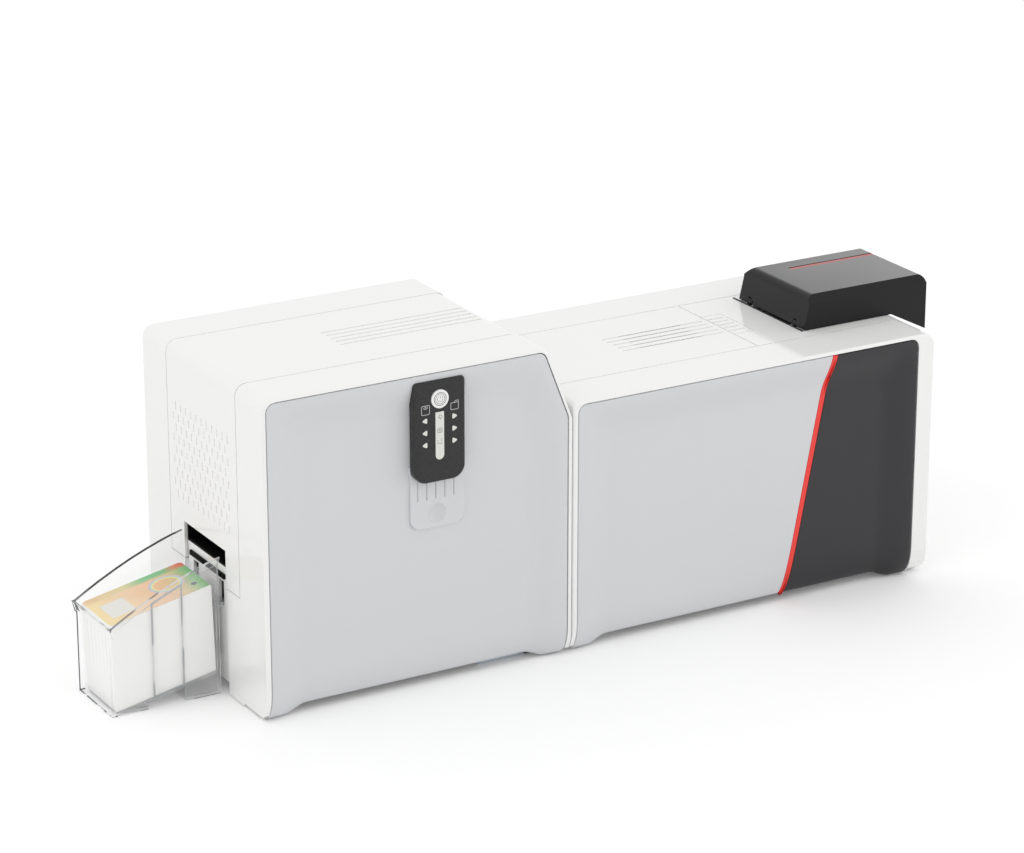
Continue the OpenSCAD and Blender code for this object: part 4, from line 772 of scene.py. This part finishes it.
# Tacky polyurethane rubber: blue, and glossier than the other rollers.
blue_rubber, shader = start_material("tacky_blue_rubber", Base_Color=tint("#3b6ea8"),
                                     Roughness=0.3)
grain(blue_rubber, shader, 1.0, 0.02)
finish(blue_rubber, "clean_roller")

# Clear film wound many times: a pale yellowish roll with a smooth gloss.
wound_film, shader = start_material("wound_clear_film", Base_Color=tint("#dcdad0"),
                                    Roughness=0.2)
grain(wound_film, shader, 3.0, 0.01)
finish(wound_film, "film_supply", "film_takeup", "laminate_film")

# Unused dye ribbon: glossy red-purple.
dye_ribbon, shader = start_material("dye_ribbon", Base_Color=tint("#b03a55"), Roughness=0.3)
grain(dye_ribbon, shader, 3.0, 0.01)
finish(dye_ribbon, "ribbon_supply")

# Used dye ribbon: darker, because its colours lie over each other.
used_ribbon, shader = start_material("used_dye_ribbon", Base_Color=tint("#3a2440"),
                                     Roughness=0.3)
grain(used_ribbon, shader, 3.0, 0.01)
finish(used_ribbon, "ribbon_takeup", "ribbon_film")

# Painted steel: dull grey with a slight orange peel.
grey_paint, shader = start_material("grey_painted_steel", Base_Color=tint("#55585c"),
                                    Roughness=0.45, Metallic=0.3)
grain(grey_paint, shader, 1.5, 0.02)
finish(grey_paint, "drive_motors", "printhead")

# Solder mask on glass fibre: glossy green.
solder_mask, shader = start_material("green_solder_mask", Base_Color=tint("#2a6a41"),
                                     Roughness=0.3)
grain(solder_mask, shader, 2.0, 0.02)
finish(solder_mask, "main_board")


# ---- Foot plates and painted shade strip ----
# Pale glass-filled nylon plates under the base pans, which carry the rubber feet, and a black
# strip on the deck along the hood: painted shade for the dark line at the foot of its left wall.

# Glass-filled nylon: pale blue-grey with a dry, slightly rough face.
foot_nylon, shader = start_material("pale_glass_filled_nylon", Base_Color=tint("#c3ccd8"),
                                    Roughness=0.45)
grain(foot_nylon, shader, 1.5, 0.03)
foot_rings = [(0, -62.0), (0, -81.2), (0.3, -81.9), (0.8, -82.2)]
rolled_slab("finishing_foot_plate", frame_line(-57, 2.7, 42, 4.6, 0.9), foot_rings, foot_nylon)
rolled_slab("printer_foot_plate", frame_line(43, 2.7, 20, 4.6, 0.9),
            [(a, b + 6) for a, b in foot_rings], foot_nylon)
# Painted shade: a thin strip in the black rubber material along the hood's left wall, where there
# is only a dark line of shade.
shade_strip_outline = frame_line(245.5, 210.75, 1.6, 0.9, 0.4)
rolled_slab("painted_shade_strip", shade_strip_outline, [(0, 54.0), (0, -47.7)], black_rubber)


# ---- Floor, world and lamps ----
# A white sweep that keeps the object's shadow, under one large softbox and a pale sky.

scene = bpy.context.scene
scene.view_settings.view_transform = "Standard"

floor_mesh = bpy.data.meshes.new("floor")
floor_mesh.from_pydata([(-30, -30, 0), (30, -30, 0), (30, 30, 0), (-30, 30, 0)], [],
                       [(0, 1, 2, 3)])
floor = bpy.data.objects.new("floor", floor_mesh)
scene.collection.objects.link(floor)
# Painted board: flat white, lifted to full white only for rays that come from the camera, a
# reflection or through clear plastic.
sweep, shader = start_material("white_sweep", Base_Color=tint("#fbfbfb"), Roughness=0.8)
shader.inputs["Emission Color"].default_value = (1, 1, 1, 1)


def seen_rays(owner):
    """1 for rays from the camera, from a reflection or through a clear wall, otherwise 0."""
    rays = add(owner, "ShaderNodeLightPath").outputs
    direct = add(owner, "ShaderNodeMath", {"operation": "MAXIMUM"},
                 in0=rays["Is Camera Ray"], in1=rays["Is Glossy Ray"])
    return add(owner, "ShaderNodeMath", {"operation": "MAXIMUM"}, in0=direct.outputs[0],
               in1=rays["Is Transmission Ray"]).outputs[0]


lift = add(sweep, "ShaderNodeMath", {"operation": "MULTIPLY", "in1": 0.1}, in0=seen_rays(sweep))
sweep.node_tree.links.new(lift.outputs[0], shader.inputs["Emission Strength"])
floor_mesh.materials.append(sweep)

world = bpy.data.worlds.new("sky")
scene.world = world
world.use_nodes = True
sky = world.node_tree.nodes["Background"]
sky.inputs["Color"].default_value = (1, 1, 1, 1)
level = add(world, "ShaderNodeMapRange", {"To Min": 0.9, "To Max": 1.0}, Value=seen_rays(world))
world.node_tree.links.new(level.outputs["Result"], sky.inputs["Strength"])


def softbox(name, place, aim, size, power):
    """A square area lamp at a place, turned so that its beam meets the aim point."""
    lamp = bpy.data.objects.new(name, bpy.data.lights.new(name, "AREA"))
    lamp.data.size = size
    lamp.data.energy = power
    lamp.location = place
    way = np.array(aim) - np.array(place)
    flat = math.hypot(way[0], way[1])
    lamp.rotation_euler = (math.atan2(flat, -way[2]), 0, math.atan2(-way[0], way[1]))
    scene.collection.objects.link(lamp)


softbox("key", (-1.6, -0.6, 2.6), (0, 0, 0.1), 1.6, 8)
softbox("fill", (2.4, -1.2, 0.5), (0.1, 0, 0.1), 1.4, 7)
